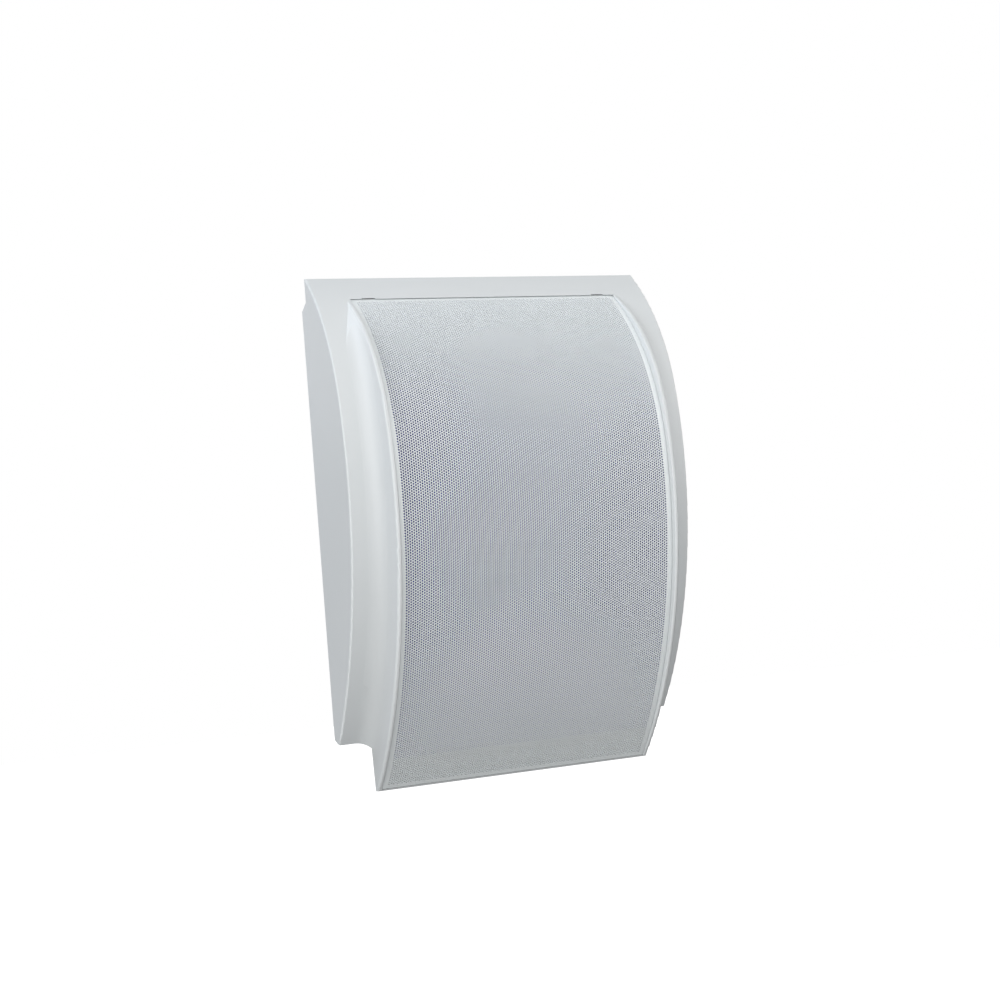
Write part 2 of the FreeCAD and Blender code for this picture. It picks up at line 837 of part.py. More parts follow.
def draw_keyhole(sketch, x, z):
    """A round entry for the screw head with a slot above it for the shank."""
    entry = size("keyhole_entry_radius")
    half = size("keyhole_slot_radius")
    top = z + size("keyhole_rise")
    shoulder = z + root(entry * entry - half * half)
    slant = half * QUARTER
    corners = [(x - half, shoulder), (x - half, top), (x, top + half), (x + half, top), (x + half, shoulder)]
    draw_outline(sketch, corners, {
        1: (half, (x - slant, top + slant)),
        2: (half, (x + slant, top + slant)),
        4: (entry, (x, z - entry)),
    })


def make_rear_cover():
    """Flat moulded back with keyholes, cable entry, stiffening rib and two plinths."""
    body = new_body("rear_cover")
    thickness = size("cover_thickness")
    half = inner_half_width - size("cover_clearance")
    sketch = front_sketch(body, 0)
    draw_box(sketch, -half, half, cover_bottom, cover_top)
    pad(body, sketch, thickness)

    sketch = front_sketch(body, thickness)
    outer = size("rib_place")
    rib = size("rib_width")
    inner = outer - rib
    draw_box(sketch, -outer, outer, -size("rib_bottom"), size("rib_top"))
    draw_box(sketch, -inner, inner, rib - size("rib_bottom"), size("rib_top") - rib)
    pad(body, sketch, size("rib_height"))

    sketch = front_sketch(body, thickness)
    for x, z, width, tall in PLINTHS:
        draw_box(sketch, x - width / 2, x + width / 2, z - tall / 2, z + tall / 2)
    pad(body, sketch, size("plinth_height"))

    sketch = front_sketch(body, plinth_top)
    for x, z in transformer_screw_spots + terminal_ear_spots:
        draw_circle(sketch, x, z, pilot_radius)
    pocket(body, sketch, size("plinth_screw_length") + size("screw_clearance"), towards_front=False)

    sketch = front_sketch(body, 0)
    for x, z in mirrored_pair(keyhole_place, keyhole_height):
        draw_keyhole(sketch, x, z)
    draw_circle(sketch, ZERO, size("cable_height"), size("cable_hole_radius"))
    for x, z in cover_screw_spots:
        draw_circle(sketch, x, z, size("screw_radius") + size("screw_clearance"))
    pocket(body, sketch)

    sketch = front_sketch(body, 0)
    for x, z in cover_screw_spots:
        draw_circle(sketch, x, z, size("screw_head_radius") + size("screw_clearance"))
    pocket(body, sketch, size("screw_head_height"))

    sketch = front_sketch(body, 0)
    lip_radius = size("cable_hole_radius") + size("grommet_lip")
    draw_circle(sketch, ZERO, size("cable_height"), lip_radius + size("grommet_clearance"))
    body.Tip = pocket(body, sketch, size("grommet_recess"))
    return body


def make_cable_grommet():
    """Rubber grommet: a groove that the cover's rim fills, and a bore for the cable."""
    body = new_body("cable_grommet")
    bore = size("cable_bore_radius")
    neck = size("cable_hole_radius") - size("grommet_clearance")
    lip = size("cable_hole_radius") + size("grommet_lip")
    rear = size("grommet_recess")
    groove = size("cover_thickness")
    front = groove + size("grommet_front_lip")
    sketch = side_sketch(body)
    depths_and_radii = [
        (ZERO, bore), (ZERO, lip), (rear, lip), (rear, neck),
        (groove, neck), (groove, lip), (front, lip), (front, bore),
    ]
    draw_outline(sketch, [(-depth, radius) for depth, radius in depths_and_radii])
    revolve(body, sketch)
    place(body, z=size("cable_height"))
    return body


def make_baffle():
    """Flat board behind the grille: its ears are screwed to the housing, its hole takes the driver."""
    body = new_body("baffle")
    half = baffle_width / 2
    ear = ear_reach
    top = baffle_top
    bottom = -baffle_bottom
    ear_top = size("ear_top")
    ear_bottom = -size("ear_bottom")
    right = [
        (half, bottom), (half, ear_bottom), (ear, ear_bottom),
        (ear, ear_top), (half, ear_top), (half, top),
    ]
    left = [(-x, z) for x, z in reversed(right)]
    sketch = front_sketch(body, baffle_rear)
    draw_outline(sketch, right + left)
    pad(body, sketch, size("baffle_thickness"))
    sketch = front_sketch(body, baffle_rear)
    hole = driver_seat_radius + size("basket_clearance")
    draw_circle(sketch, ZERO, size("driver_height"), hole)
    for x, z in ear_screw_spots:
        draw_circle(sketch, x, z, size("screw_radius") + size("screw_clearance"))
    for x, z in driver_screw_spots:
        draw_circle(sketch, x, z + size("driver_height"), pilot_radius)
    body.Tip = pocket(body, sketch)
    return body


def turned(label, depths_and_radii, arcs=None):
    """A driver piece turned about the driver's axis from a profile of depths and radii."""
    body = new_body(label)
    sketch = side_sketch(body)
    corners = [(-as_size(depth), as_size(radius)) for depth, radius in depths_and_radii]
    arcs = {side: (radius, (-middle[0], middle[1])) for side, (radius, middle) in (arcs or {}).items()}
    draw_outline(sketch, corners, arcs)
    revolve(body, sketch)
    place(body, z=size("driver_height"))
    return body


def cut_screw_ring(body, radius):
    """Round holes through a driver piece at its four screws."""
    sketch = front_sketch(body, 0)
    for x, z in driver_screw_spots:
        draw_circle(sketch, x, z, radius)
    body.Tip = pocket(body, sketch)
    return body


def make_driver_basket():
    """Pressed basket: flange, step, open cone wall, spider ledge and floor."""
    metal = size("basket_sheet")
    seat = driver_seat_radius
    step = baffle_depth - size("driver_step")
    spider = spider_seat_depth
    ledge = basket_ledge_radius
    neck = basket_neck_radius
    bore = basket_bore
    floor = top_plate_depth
    body = turned("driver_basket", [
        (baffle_depth, size("driver_radius")), (baffle_depth, seat), (step, seat),
        (spider - metal, ledge), (spider - metal, neck), (floor, neck), (floor, bore),
        (floor + metal, bore), (floor + metal, basket_neck_inside),
        (spider, basket_neck_inside), (spider, ledge),
        (step + metal, seat - metal), (flange_front, seat - metal), (flange_front, size("driver_radius")),
    ])
    half_angle = size("window_angle") / 2
    inner = window_inner
    outer = window_outer
    side = sine(half_angle)
    up = cosine(half_angle)
    corners = [(-(inner * side), inner * up), (inner * side, inner * up),
               (outer * side, outer * up), (-(outer * side), outer * up)]
    sketch = front_sketch(body, 0)
    draw_outline(sketch, corners, {0: (inner, (ZERO, inner)), 2: (outer, (ZERO, outer))})
    window = pocket(body, sketch)
    windows = body.newObject("PartDesign::PolarPattern", "basket_windows")
    windows.Originals = [window]
    axis = next(item for item in body.Origin.OriginFeatures if item.Role == "Y_Axis")
    windows.Axis = (axis, [""])
    windows.Angle = 360.0
    windows.Occurrences = BASKET_WINDOWS
    return cut_screw_ring(body, size("screw_radius") + size("screw_clearance"))


def make_driver_gasket():
    rear = flange_front + size("surround_sheet")
    front = rear + size("gasket_thickness")
    inner = roll_centre + size("roll_radius") + size("gasket_clearance")
    body = turned("driver_gasket", [
        (rear, inner), (rear, size("driver_radius")), (front, size("driver_radius")), (front, inner),
    ])
    return cut_screw_ring(body, size("screw_head_radius") + size("screw_clearance"))


def make_surround():
    """Half roll between the flange and the cone, with a glued lip on each side."""
    sheet_thickness = size("surround_sheet")
    rear = flange_front
    front = rear + sheet_thickness
    outer = size("driver_radius") - size("surround_trim")
    roll = size("roll_radius")
    inside = roll - sheet_thickness
    centre = roll_centre
    inner = surround_inner
    far = roll * QUARTER
    near = inside * QUARTER
    body = turned("surround", [
        (front, outer), (front, centre + roll), (front + roll, centre),
        (front, centre - roll), (front, inner), (rear, inner),
        (rear, centre - inside), (rear + inside, centre), (rear, centre + inside), (rear, outer),
    ], {
        1: (roll, (front + far, centre + far)),
        2: (roll, (front + far, centre - far)),
        6: (inside, (rear + near, centre - near)),
        7: (inside, (rear + near, centre + near)),
    })
    return cut_screw_ring(body, size("screw_head_radius") + size("screw_clearance"))


def make_cone():
    paper = size("cone_sheet")
    rim = roll_centre - size("roll_radius")
    lip = surround_inner
    neck = size("coil_radius") + size("glue_gap")
    front = flange_front - size("glue_gap")
    return turned("cone", [
        (front, rim), (front, lip), (cone_neck_depth + paper, neck), (cone_neck_depth, neck),
        (front - paper, lip + paper), (front - paper, rim),
    ])


def make_dust_cap():
    """Domed cap over the coil, glued to the cone."""
    paper = size("cone_sheet")
    radius = dust_cap_radius
    rise = size("dust_cap_rise")
    neck = size("coil_radius") + size("glue_gap")
    lip = surround_inner
    slope = (flange_front - size("glue_gap") - cone_neck_depth - paper) / (lip - neck)
    base = cone_neck_depth + paper + slope * (radius - neck) + size("glue_gap")
    dome = (radius * radius + rise * rise) / (rise * 2)
    middle = rise - dome + root(dome * dome - radius * radius / 4)
    front = base + paper
    corners = [(base, radius), (front, radius), (front + rise, ZERO), (base + rise, ZERO)]
    return turned("dust_cap", corners, {
        1: (dome, (front + middle, radius / 2)),
        3: (dome, (base + middle, radius / 2)),
    })


def make_voice_coil():
    """Thin former with the winding in the magnet's gap."""
    outer = size("coil_radius")
    inner = outer - size("former_wall")
    wound = outer + size("winding_wall")
    rear = former_rear_depth
    front = cone_neck_depth + size("former_stand")
    gap_middle = top_plate_depth - size("top_plate_thickness") / 2
    start = gap_middle - size("winding_length") / 2
    stop = gap_middle + size("winding_length") / 2
    return turned("voice_coil", [
        (rear, inner), (front, inner), (front, outer), (stop, outer),
        (stop, wound), (start, wound), (start, outer), (rear, outer),
    ])


def make_spider():
    """Corrugated disc that centres the coil: pleats between a glued inner and outer ring."""
    cloth = size("spider_sheet")
    seat = spider_seat_depth
    inner = size("coil_radius") + size("glue_gap")
    first = inner + size("spider_ring")
    last = size("spider_outer") - size("spider_ring")
    pitch = (last - first) / SPIDER_PLEATS
    rear = [(seat, inner)]
    for fold in range(SPIDER_PLEATS + 1):
        lift = size("spider_wave") if fold % 2 else ZERO
        rear.append((seat + lift, first + pitch * fold))
    rear.append((seat, size("spider_outer")))
    front = [(depth + cloth, radius) for depth, radius in reversed(rear)]
    return turned("spider", rear + front)


def make_top_plate():
    front = top_plate_depth
    rear = top_plate_rear
    edge = size("top_plate_radius")
    return turned("top_plate", [(rear, plate_bore), (rear, edge), (front, edge), (front, plate_bore)])


def make_magnet():
    edge = size("magnet_radius")
    return turned("magnet", [
        (magnet_rear, magnet_bore), (magnet_rear, edge),
        (top_plate_rear, edge), (top_plate_rear, magnet_bore),
    ])


def make_yoke():
    """Back plate and pole piece in one."""
    pole = size("coil_radius") - size("former_wall") - size("pole_gap")
    return turned("yoke", [
        (yoke_rear, ZERO), (yoke_rear, size("yoke_radius")), (magnet_rear, size("yoke_radius")),
        (magnet_rear, pole), (top_plate_depth, pole), (top_plate_depth, ZERO),
    ])


def make_driver_terminal():
    """Tag board behind the spider ledge with two solder lugs."""
    body = new_body("driver_terminal")
    front = spider_seat_depth - size("basket_sheet")
    rear = front - size("tag_thickness")
    half = size("tag_width") / 2
    top = -(basket_neck_radius + size("tag_clearance"))
    bottom = top - size("tag_height")
    sketch = front_sketch(body, rear)
    draw_box(sketch, -half, half, bottom, top)
    pad(body, sketch, size("tag_thickness"))
    sketch = front_sketch(body, rear)
    for side in (1, -1):
        centre = size("lug_place") * side
        lug = size("lug_width") / 2
        reach = size("lug_length")
        draw_box(sketch, centre - lug, centre + lug, bottom - reach, bottom + reach)
    pad(body, sketch, size("lug_thickness"))
    place(body, z=size("driver_height"))
    return body


def make_transformer_core():
    """Stack of E and I sheets: outer frame, centre leg and two windows."""
    body = new_body("transformer_core")
    half = size("core_width") / 2
    sketch = new_sketch(body, "XY_Plane")
    draw_box(sketch, -half, half, -size("core_height"), ZERO)
    for side in (1, -1):
        near = size("core_leg") / 2 * side
        far = (half - size("core_yoke")) * side
        draw_box(sketch, near, far, size("core_yoke") - size("core_height"), -size("core_yoke"))
    pad(body, sketch, size("core_stack"), both=True)
    place(body, size("transformer_place"), -plinth_top, transformer_height)
    return body


def bobbin_sizes():
    gap = size("bobbin_clearance")
    tube_x = size("core_leg") / 2 + gap + size("bobbin_wall")
    tube_z = size("core_stack") / 2 + gap + size("bobbin_wall")
    flange_x = size("core_width") / 2 - size("core_yoke") - gap
    flange_z = tube_z + size("bobbin_overhang")
    rear = size("core_yoke") + gap
    front = size("core_height") - size("core_yoke") - gap
    return tube_x, tube_z, flange_x, flange_z, rear, front


def make_transformer_bobbin():
    """Tube round the centre leg with a flange at each end."""
    body = new_body("transformer_bobbin")
    tube_x, tube_z, flange_x, flange_z, rear, front = bobbin_sizes()
    skin = size("bobbin_wall")
    sketch = front_sketch(body, rear)
    draw_box(sketch, -tube_x, tube_x, -tube_z, tube_z)
    pad(body, sketch, front - rear)
    for depth in (rear, front - skin):
        sketch = front_sketch(body, depth)
        draw_box(sketch, -flange_x, flange_x, -flange_z, flange_z)
        pad(body, sketch, skin)
    sketch = front_sketch(body, rear)
    draw_box(sketch, skin - tube_x, tube_x - skin, skin - tube_z, tube_z - skin)
    body.Tip = pocket(body, sketch)
    place(body, size("transformer_place"), -plinth_top, transformer_height)
    return body


def make_transformer_winding():
    """Wound wire between the bobbin's flanges."""
    body = new_body("transformer_winding")
    tube_x, tube_z, flange_x, flange_z, rear, front = bobbin_sizes()
    skin = size("bobbin_wall")
    inset = size("winding_inset")
    sketch = front_sketch(body, rear + skin)
    draw_box(sketch, inset - flange_x, flange_x - inset, inset - flange_z, flange_z - inset)
    draw_box(sketch, -tube_x, tube_x, -tube_z, tube_z)
    pad(body, sketch, front - rear - skin * 2)
    place(body, size("transformer_place"), -plinth_top, transformer_height)
    return body


def make_transformer_clamp():
    """Bent strap over the core with a screwed ear at each foot."""
    body = new_body("transformer_clamp")
    metal = size("clamp_sheet")
    inside = size("core_width") / 2 + size("bobbin_clearance")
    outside = inside + metal
    tip = outside + size("clamp_ear")
    reach = size("core_height") + size("bobbin_clearance")
    right = [(inside, ZERO), (tip, ZERO), (tip, -metal), (outside, -metal), (outside, -(reach + metal))]
    left = [(-x, y) for x, y in reversed(right)]
    sketch = new_sketch(body, "XY_Plane")
    draw_outline(sketch, [(inside, -reach)] + right + left + [(-inside, -reach)])
    pad(body, sketch, size("core_stack"), both=True)
    sketch = front_sketch(body, 0)
    for x, z in transformer_screw_spots:
        local_x = x - size("transformer_place")
        draw_circle(sketch, local_x, ZERO, size("screw_radius") + size("screw_clearance"))
    body.Tip = pocket(body, sketch)
    place(body, size("transformer_place"), -plinth_top, transformer_height)
    return body


def make_terminal_block():
    """Moulded block with a screw well for each wire and an ear at each end."""
    body = new_body("terminal_block")
    half = size("terminal_width") / 2
    tall = size("terminal_tall") / 2
    ear = half + size("terminal_ear")
    ear_tall = size("terminal_ear_tall") / 2
    sketch = front_sketch(body, 0)
    draw_box(sketch, -half, half, -tall, tall)
    pad(body, sketch, size("terminal_thick"))
    sketch = front_sketch(body, 0)
    draw_box(sketch, -ear, ear, -ear_tall, ear_tall)
    pad(body, sketch, size("terminal_ear_thickness"))
    sketch = front_sketch(body, well_floor)
    for x, z in terminal_wells:
        draw_circle(sketch, x, z, size("terminal_well_radius"))
    pocket(body, sketch)
    sketch = front_sketch(body, 0)
    for x, z in terminal_ear_spots:
        hole = size("screw_radius") + size("screw_clearance")
        draw_circle(sketch, x - size("terminal_place"), z - terminal_height, hole)
    body.Tip = pocket(body, sketch)
    place(body, size("terminal_place"), -plinth_top, terminal_height)
    return body


def make_terminal_screws():
    """Wire screws, one at the bottom of each well."""
    group = doc.addObject("Part::Compound", "terminal_screws")
    group.Label = "terminal_screws"
    group.Links = [
        cylinder("wire_screw", size("terminal_place") + x, plinth_top + well_floor, terminal_height + z,
                 size("terminal_screw_radius"), size("terminal_screw_height"))
        for x, z in terminal_wells
    ]
    return group


NODES = [
    make_front_housing(),
    make_grille(),
    make_grille_cloth(),
    make_rear_cover(),
    screw_group(
        "rear_cover_screws", cover_screw_spots, size("screw_head_height"), size("cover_screw_length"),
    ),
    make_cable_grommet(),
    make_baffle(),
    screw_group("baffle_screws", ear_screw_spots, baffle_rear, size("baffle_screw_length")),
    make_driver_basket(),
    make_driver_gasket(),
    make_surround(),
    make_cone(),
    make_dust_cap(),
    make_voice_coil(),
    make_spider(),
    make_top_plate(),
    make_magnet(),
    make_yoke(),
    make_driver_terminal(),
    screw_group(
        "driver_screws",
        [(x, z + size("driver_height")) for x, z in driver_screw_spots],
        flange_front, size("driver_screw_length"), facing_wall=False,
    ),
    make_transformer_core(),
    make_transformer_bobbin(),
    make_transformer_winding(),
    make_transformer_clamp(),
    screw_group(
        "transformer_screws", transformer_screw_spots, plinth_top + size("clamp_sheet"),
        size("plinth_screw_length") + size("clamp_sheet"), facing_wall=False,
    ),
    make_terminal_block(),
    make_terminal_screws(),
    screw_group(
        "terminal_block_screws", terminal_ear_spots, plinth_top + size("terminal_ear_thickness"),
        size("plinth_screw_length") + size("terminal_ear_thickness"), facing_wall=False,
    ),
]

doc.recompute()
for item in doc.Objects:
    if "Invalid" in item.State or "Error" in item.State:
        raise RuntimeError(f"{item.Label} did not build: {item.State}")
for node in NODES:
    if node.Shape.isNull() or not node.Shape.isValid():
        raise RuntimeError(f"{node.Label} has no valid shape")

os.makedirs("parts", exist_ok=True)
for node in NODES:
    node.Shape.exportStep(f"parts/{node.Label}.step")
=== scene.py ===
# %% [markdown]
# # A wall loudspeaker
# The part arrives as finished solids, one object for each piece of the real speaker. This lesson
# dresses them: it gives every surface its finish, cuts the thousands of fine holes into the steel
# grille, stretches the cloth behind it, turns proper screws and sets up a small white studio.
# Everything is in metres, with X to the right, Y towards the wall and Z up.

import math

import bmesh
import bpy
from mathutils import Matrix, Vector


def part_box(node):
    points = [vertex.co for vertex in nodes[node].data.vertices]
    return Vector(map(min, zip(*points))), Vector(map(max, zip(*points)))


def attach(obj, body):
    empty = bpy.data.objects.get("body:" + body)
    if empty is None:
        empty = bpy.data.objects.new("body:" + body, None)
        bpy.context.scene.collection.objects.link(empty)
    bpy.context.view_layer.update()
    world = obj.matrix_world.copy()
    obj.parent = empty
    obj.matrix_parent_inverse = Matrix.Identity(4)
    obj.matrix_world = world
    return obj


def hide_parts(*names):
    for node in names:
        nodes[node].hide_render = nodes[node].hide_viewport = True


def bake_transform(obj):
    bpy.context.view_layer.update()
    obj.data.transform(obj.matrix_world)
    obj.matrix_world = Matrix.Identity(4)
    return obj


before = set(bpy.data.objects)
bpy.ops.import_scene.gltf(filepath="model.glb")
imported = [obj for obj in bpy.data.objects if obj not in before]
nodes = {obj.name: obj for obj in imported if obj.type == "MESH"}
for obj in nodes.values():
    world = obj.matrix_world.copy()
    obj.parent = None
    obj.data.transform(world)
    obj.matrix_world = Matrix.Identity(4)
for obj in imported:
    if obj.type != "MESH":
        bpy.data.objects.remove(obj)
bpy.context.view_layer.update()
MM = 0.001
NEAR = 0.01 * MM

# %% [markdown]
# ## The camera
# The viewpoint was found from the outline of the speaker: it stands to the left of the middle,
# about a metre away and a little below the speaker's centre, and the picture is turned by a few
# degrees. A rotation matrix built from three directions says this without any trial and error.

# %% Camera
VIEW_YAW = math.radians(23.378)
VIEW_PITCH = math.radians(1.630)
VIEW_ROLL = math.radians(-4.526)
VIEW_PLACE = Vector((-401.177, -948.922, -29.283)) * MM
FOCAL_PIXELS = 1768.35
FRAME_PIXELS = 1000
SENSOR_WIDTH = 36.0


def aim(yaw, pitch, roll):
    """The turn of a camera that looks along +Y, swung right by yaw, up by pitch and rolled."""
    level_reach = math.cos(pitch)
    ahead = Vector((math.sin(yaw) * level_reach, math.cos(yaw) * level_reach, math.sin(pitch)))
    level = Vector((math.cos(yaw), -math.sin(yaw), 0))
    raised = level.cross(ahead)
    right = level * math.cos(roll) + raised * math.sin(roll)
    up = raised * math.cos(roll) - level * math.sin(roll)
    return Matrix((right, up, -ahead)).transposed()


camera = bpy.data.objects.new("camera", bpy.data.cameras.new("camera"))
camera.data.sensor_width = SENSOR_WIDTH
camera.data.lens = FOCAL_PIXELS * SENSOR_WIDTH / FRAME_PIXELS
camera.matrix_world = Matrix.Translation(VIEW_PLACE) @ aim(VIEW_YAW, VIEW_PITCH, VIEW_ROLL).to_4x4()
bpy.context.scene.collection.objects.link(camera)
bpy.context.scene.camera = camera
print("lens:", round(camera.data.lens, 2), "mm")

# %% [markdown]
# ## Helpers for materials
# Colours are written as sRGB hex values, as a colour picker shows them, and turned into the linear
# numbers that shaders use. One function adds a node, sets it up and links it, so each material
# below reads as a short list of what its surface is made of. Pattern scales come from real sizes:
# a Noise texture of scale 1 / size has features about as large as that size.

# %% Colour and node helpers
# A Mix node has one set of sockets for each kind of data, and these are the numbers for colours.
MIX_FACTOR, MIX_FIRST, MIX_SECOND, MIX_RESULT = 0, 6, 7, 2


def linear(hex_colour):
    """An sRGB hex colour as linear red, green, blue and alpha."""
    channels = [int(hex_colour[start:start + 2], 16) / 255 for start in (1, 3, 5)]
    light = [
        value / 12.92 if value <= 0.04045 else ((value + 0.055) / 1.055) ** 2.4
        for value in channels
    ]
    return (*light, 1.0)


def add_node(material, kind, values=None, links=None, **settings):
    """Add a node, set its settings and its sockets' values, and link its inputs to other outputs."""
    tree = material.node_tree
    node = tree.nodes.new(kind)
    for name, value in settings.items():
        setattr(node, name, value)
    for name, value in (values or {}).items():
        node.inputs[name].default_value = value
    for name, output in (links or {}).items():
        tree.links.new(output, node.inputs[name])
    return node


def new_material(name, **shader_values):
    """A material with its shader, the shader's plain values and the piece's own coordinates."""
    material = bpy.data.materials.new(name)
    material.use_nodes = True
    shader = material.node_tree.nodes["Principled BSDF"]
    for socket, value in shader_values.items():
        shader.inputs[socket.replace("_", " ")].default_value = value
    place = add_node(material, "ShaderNodeTexCoord").outputs["Object"]
    return material, shader, place


def per(size_mm):
    """The texture scale that makes features of a size in millimetres."""
    return 1 / (size_mm * MM)


def noise(material, place, size_mm, **values):
    """A cloudy pattern whose features are about as large as a size."""
    values["Scale"] = per(size_mm)
    return add_node(material, "ShaderNodeTexNoise", values, {"Vector": place}).outputs["Fac"]


def bands(material, place, direction, pitch_mm):
    """Soft parallel bands a pitch apart along one axis."""
    values = {"Scale": per(pitch_mm) * math.pi / 10}
    return add_node(
        material, "ShaderNodeTexWave", values, {"Vector": place},
        bands_direction=direction, wave_profile="SIN",
    ).outputs["Fac"]


def shade(material, shader, pattern, dark, light):
    """Colour the surface from dark to light by a pattern."""
    mix = add_node(
        material, "ShaderNodeMix", {MIX_FIRST: linear(dark), MIX_SECOND: linear(light)},
        {MIX_FACTOR: pattern}, data_type="RGBA",
    )
    material.node_tree.links.new(mix.outputs[MIX_RESULT], shader.inputs["Base Color"])


def raise_by(material, shader, pattern, height_mm, strength):
    """Read a pattern as a height in millimetres and tilt the light by it."""
    values = {"Strength": strength, "Distance": height_mm * MM}
    bump = add_node(material, "ShaderNodeBump", values, {"Height": pattern})
    material.node_tree.links.new(bump.outputs["Normal"], shader.inputs["Normal"])


def tone(material, shader, place, dark, light, size_mm, detail=3.0):
    """Colour that drifts between two shades over patches of a size."""
    shade(material, shader, noise(material, place, size_mm, Detail=detail), dark, light)


def grain(material, shader, place, size_mm, height_mm, strength, detail=2.0):
    """A fine bumpy surface of a grain size and a height."""
    raise_by(material, shader, noise(material, place, size_mm, Detail=detail), height_mm, strength)


def gloss(material, shader, place, roughness, spread, size_mm):
    """Roughness that wanders by a spread to either side over patches of a size."""
    span = add_node(
        material, "ShaderNodeMapRange", {"To Min": roughness - spread, "To Max": roughness + spread},
        {"Value": noise(material, place, size_mm)},
    )
    material.node_tree.links.new(span.outputs["Result"], shader.inputs["Roughness"])


print("helpers ready")

# %% [markdown]
# ## Plastics and rubber
# The housing and its back are injection-moulded ABS. The tool was spark-eroded, which leaves a fine
# satin grain and no mirror reflections, and the pale grey has a cool cast. The small mouldings are
# nylon, the tag board is a brown paper laminate, and the grommet is soft black rubber.

# %% Plastic and rubber finishes


def moulded_plastic(name, dark, light, roughness, grain_mm):
    """A moulding: nearly even colour with a faint drift, satin gloss and a fine eroded grain."""
    material, shader, place = new_material(name, IOR=1.52)
    tone(material, shader, place, dark, light, size_mm=70)
    gloss(material, shader, place, roughness, spread=0.05, size_mm=9)
    grain(material, shader, place, grain_mm, height_mm=0.02, strength=0.25)
    return material


housing_abs = moulded_plastic("moulded_abs_housing", "#dadedf", "#e0e3e4", 0.42, 0.45)
cover_abs = moulded_plastic("moulded_abs_cover", "#d6d9d8", "#dddfde", 0.5, 0.6)
black_nylon = moulded_plastic("moulded_black_nylon", "#1b1b1c", "#232325", 0.45, 0.5)
cream_nylon = moulded_plastic("moulded_cream_nylon", "#dcd8ca", "#e4e1d5", 0.4, 0.5)
tag_laminate = moulded_plastic("brown_paper_laminate", "#6a4423", "#7d5430", 0.55, 0.8)
black_rubber = moulded_plastic("moulded_black_rubber", "#141414", "#1d1d1e", 0.72, 0.9)
print("plastics:", housing_abs.name, cover_abs.name)

# %% [markdown]
# ## Metals
# The grille is steel under powder coat, so it is a dielectric with a faint orange peel. The screws
# and plates are zinc-plated steel, the windings enamelled copper, the wire screws brass and the
# core a stack of thin sheets, whose edges show as fine lines. Metals keep the default IOR.

# %% Metal finishes


def powder_coat(name, dark, light, roughness):
    """Baked powder paint: a soft gloss over a very shallow orange peel."""
    material, shader, place = new_material(name, IOR=1.5)
    tone(material, shader, place, dark, light, size_mm=45)
    gloss(material, shader, place, roughness, spread=0.04, size_mm=6)
    grain(material, shader, place, size_mm=0.8, height_mm=0.01, strength=0.2)
    return material


def plain_metal(name, dark, light, roughness):
    """Bare or plated metal with a cloudy, slightly uneven polish."""
    material, shader, place = new_material(name, Metallic=1.0)
    tone(material, shader, place, dark, light, size_mm=4)
    gloss(material, shader, place, roughness, spread=0.08, size_mm=2)
    grain(material, shader, place, size_mm=0.3, height_mm=0.004, strength=0.3)
    return material


def layered(material, direction, pitch_mm, height_mm):
    """Fine parallel lines, as of sheet edges or wound wire, along one axis of the piece."""
    shader = material.node_tree.nodes["Principled BSDF"]
    place = add_node(material, "ShaderNodeTexCoord").outputs["Object"]
    lines = bands(material, place, direction, pitch_mm)
    raise_by(material, shader, lines, height_mm, strength=0.8)
    return material


grille_paint = powder_coat("powder_coated_steel", "#eaeff0", "#eff3f4", 0.4)
basket_paint = powder_coat("black_painted_steel", "#17181a", "#202124", 0.38)
zinc_plate = plain_metal("zinc_plated_steel", "#a9abab", "#bcbdb9", 0.34)
brass_bar = plain_metal("turned_brass", "#b08a45", "#c39c55", 0.3)
# The enamelled wire is 0.3 mm thick and is drawn at 0.6 mm, so that its turns show.
enamelled = plain_metal("enamelled_copper_wire", "#8a4a26", "#a65f33", 0.3)
coil_wire = layered(enamelled, "Y", pitch_mm=0.6, height_mm=0.15)
varnished = plain_metal("varnished_core_sheets", "#55575a", "#6a6c6e", 0.45)
core_steel = layered(varnished, "Z", pitch_mm=0.7, height_mm=0.1)
print("metals:", grille_paint.name, zinc_plate.name)

# %% [markdown]
# ## Cloth, paper, board and ferrite
# Behind the steel lies a thin woven cloth that lets the sound through and hides the driver. The
# cone is pressed paper pulp, the suspension is cloth stiffened with resin, the baffle is fibre
# board and the magnet a dull sintered ferrite. A weave is two crossing waves at the thread spacing.

# %% Soft and fibrous finishes


def woven(name, dark, light, thread_mm, coordinates):
    """Plain weave: two crossed sets of threads that rise and sink, in the piece's own map."""
    material, shader, place = new_material(name, IOR=1.48, Roughness=0.9)
    if coordinates == "UV":
        place = place.node.outputs["UV"]
    threads = {
        socket: bands(material, place, direction, thread_mm)
        for socket, direction in enumerate(("X", "Y"))
    }
    crossing = add_node(material, "ShaderNodeMath", links=threads, operation="MULTIPLY").outputs[0]
    shade(material, shader, crossing, dark, light)
    raise_by(material, shader, crossing, height_mm=thread_mm / 4, strength=0.7)
    return material


def fibrous(name, dark, light, roughness, fibre_mm, height_mm):
    """Pressed fibres: a mottled colour and a matt, slightly hairy surface."""
    material, shader, place = new_material(name, IOR=1.45)
    tone(material, shader, place, dark, light, fibre_mm, detail=6.0)
    gloss(material, shader, place, roughness, spread=0.06, size_mm=fibre_mm * 3)
    grain(material, shader, place, fibre_mm, height_mm, strength=0.5, detail=5.0)
    return material


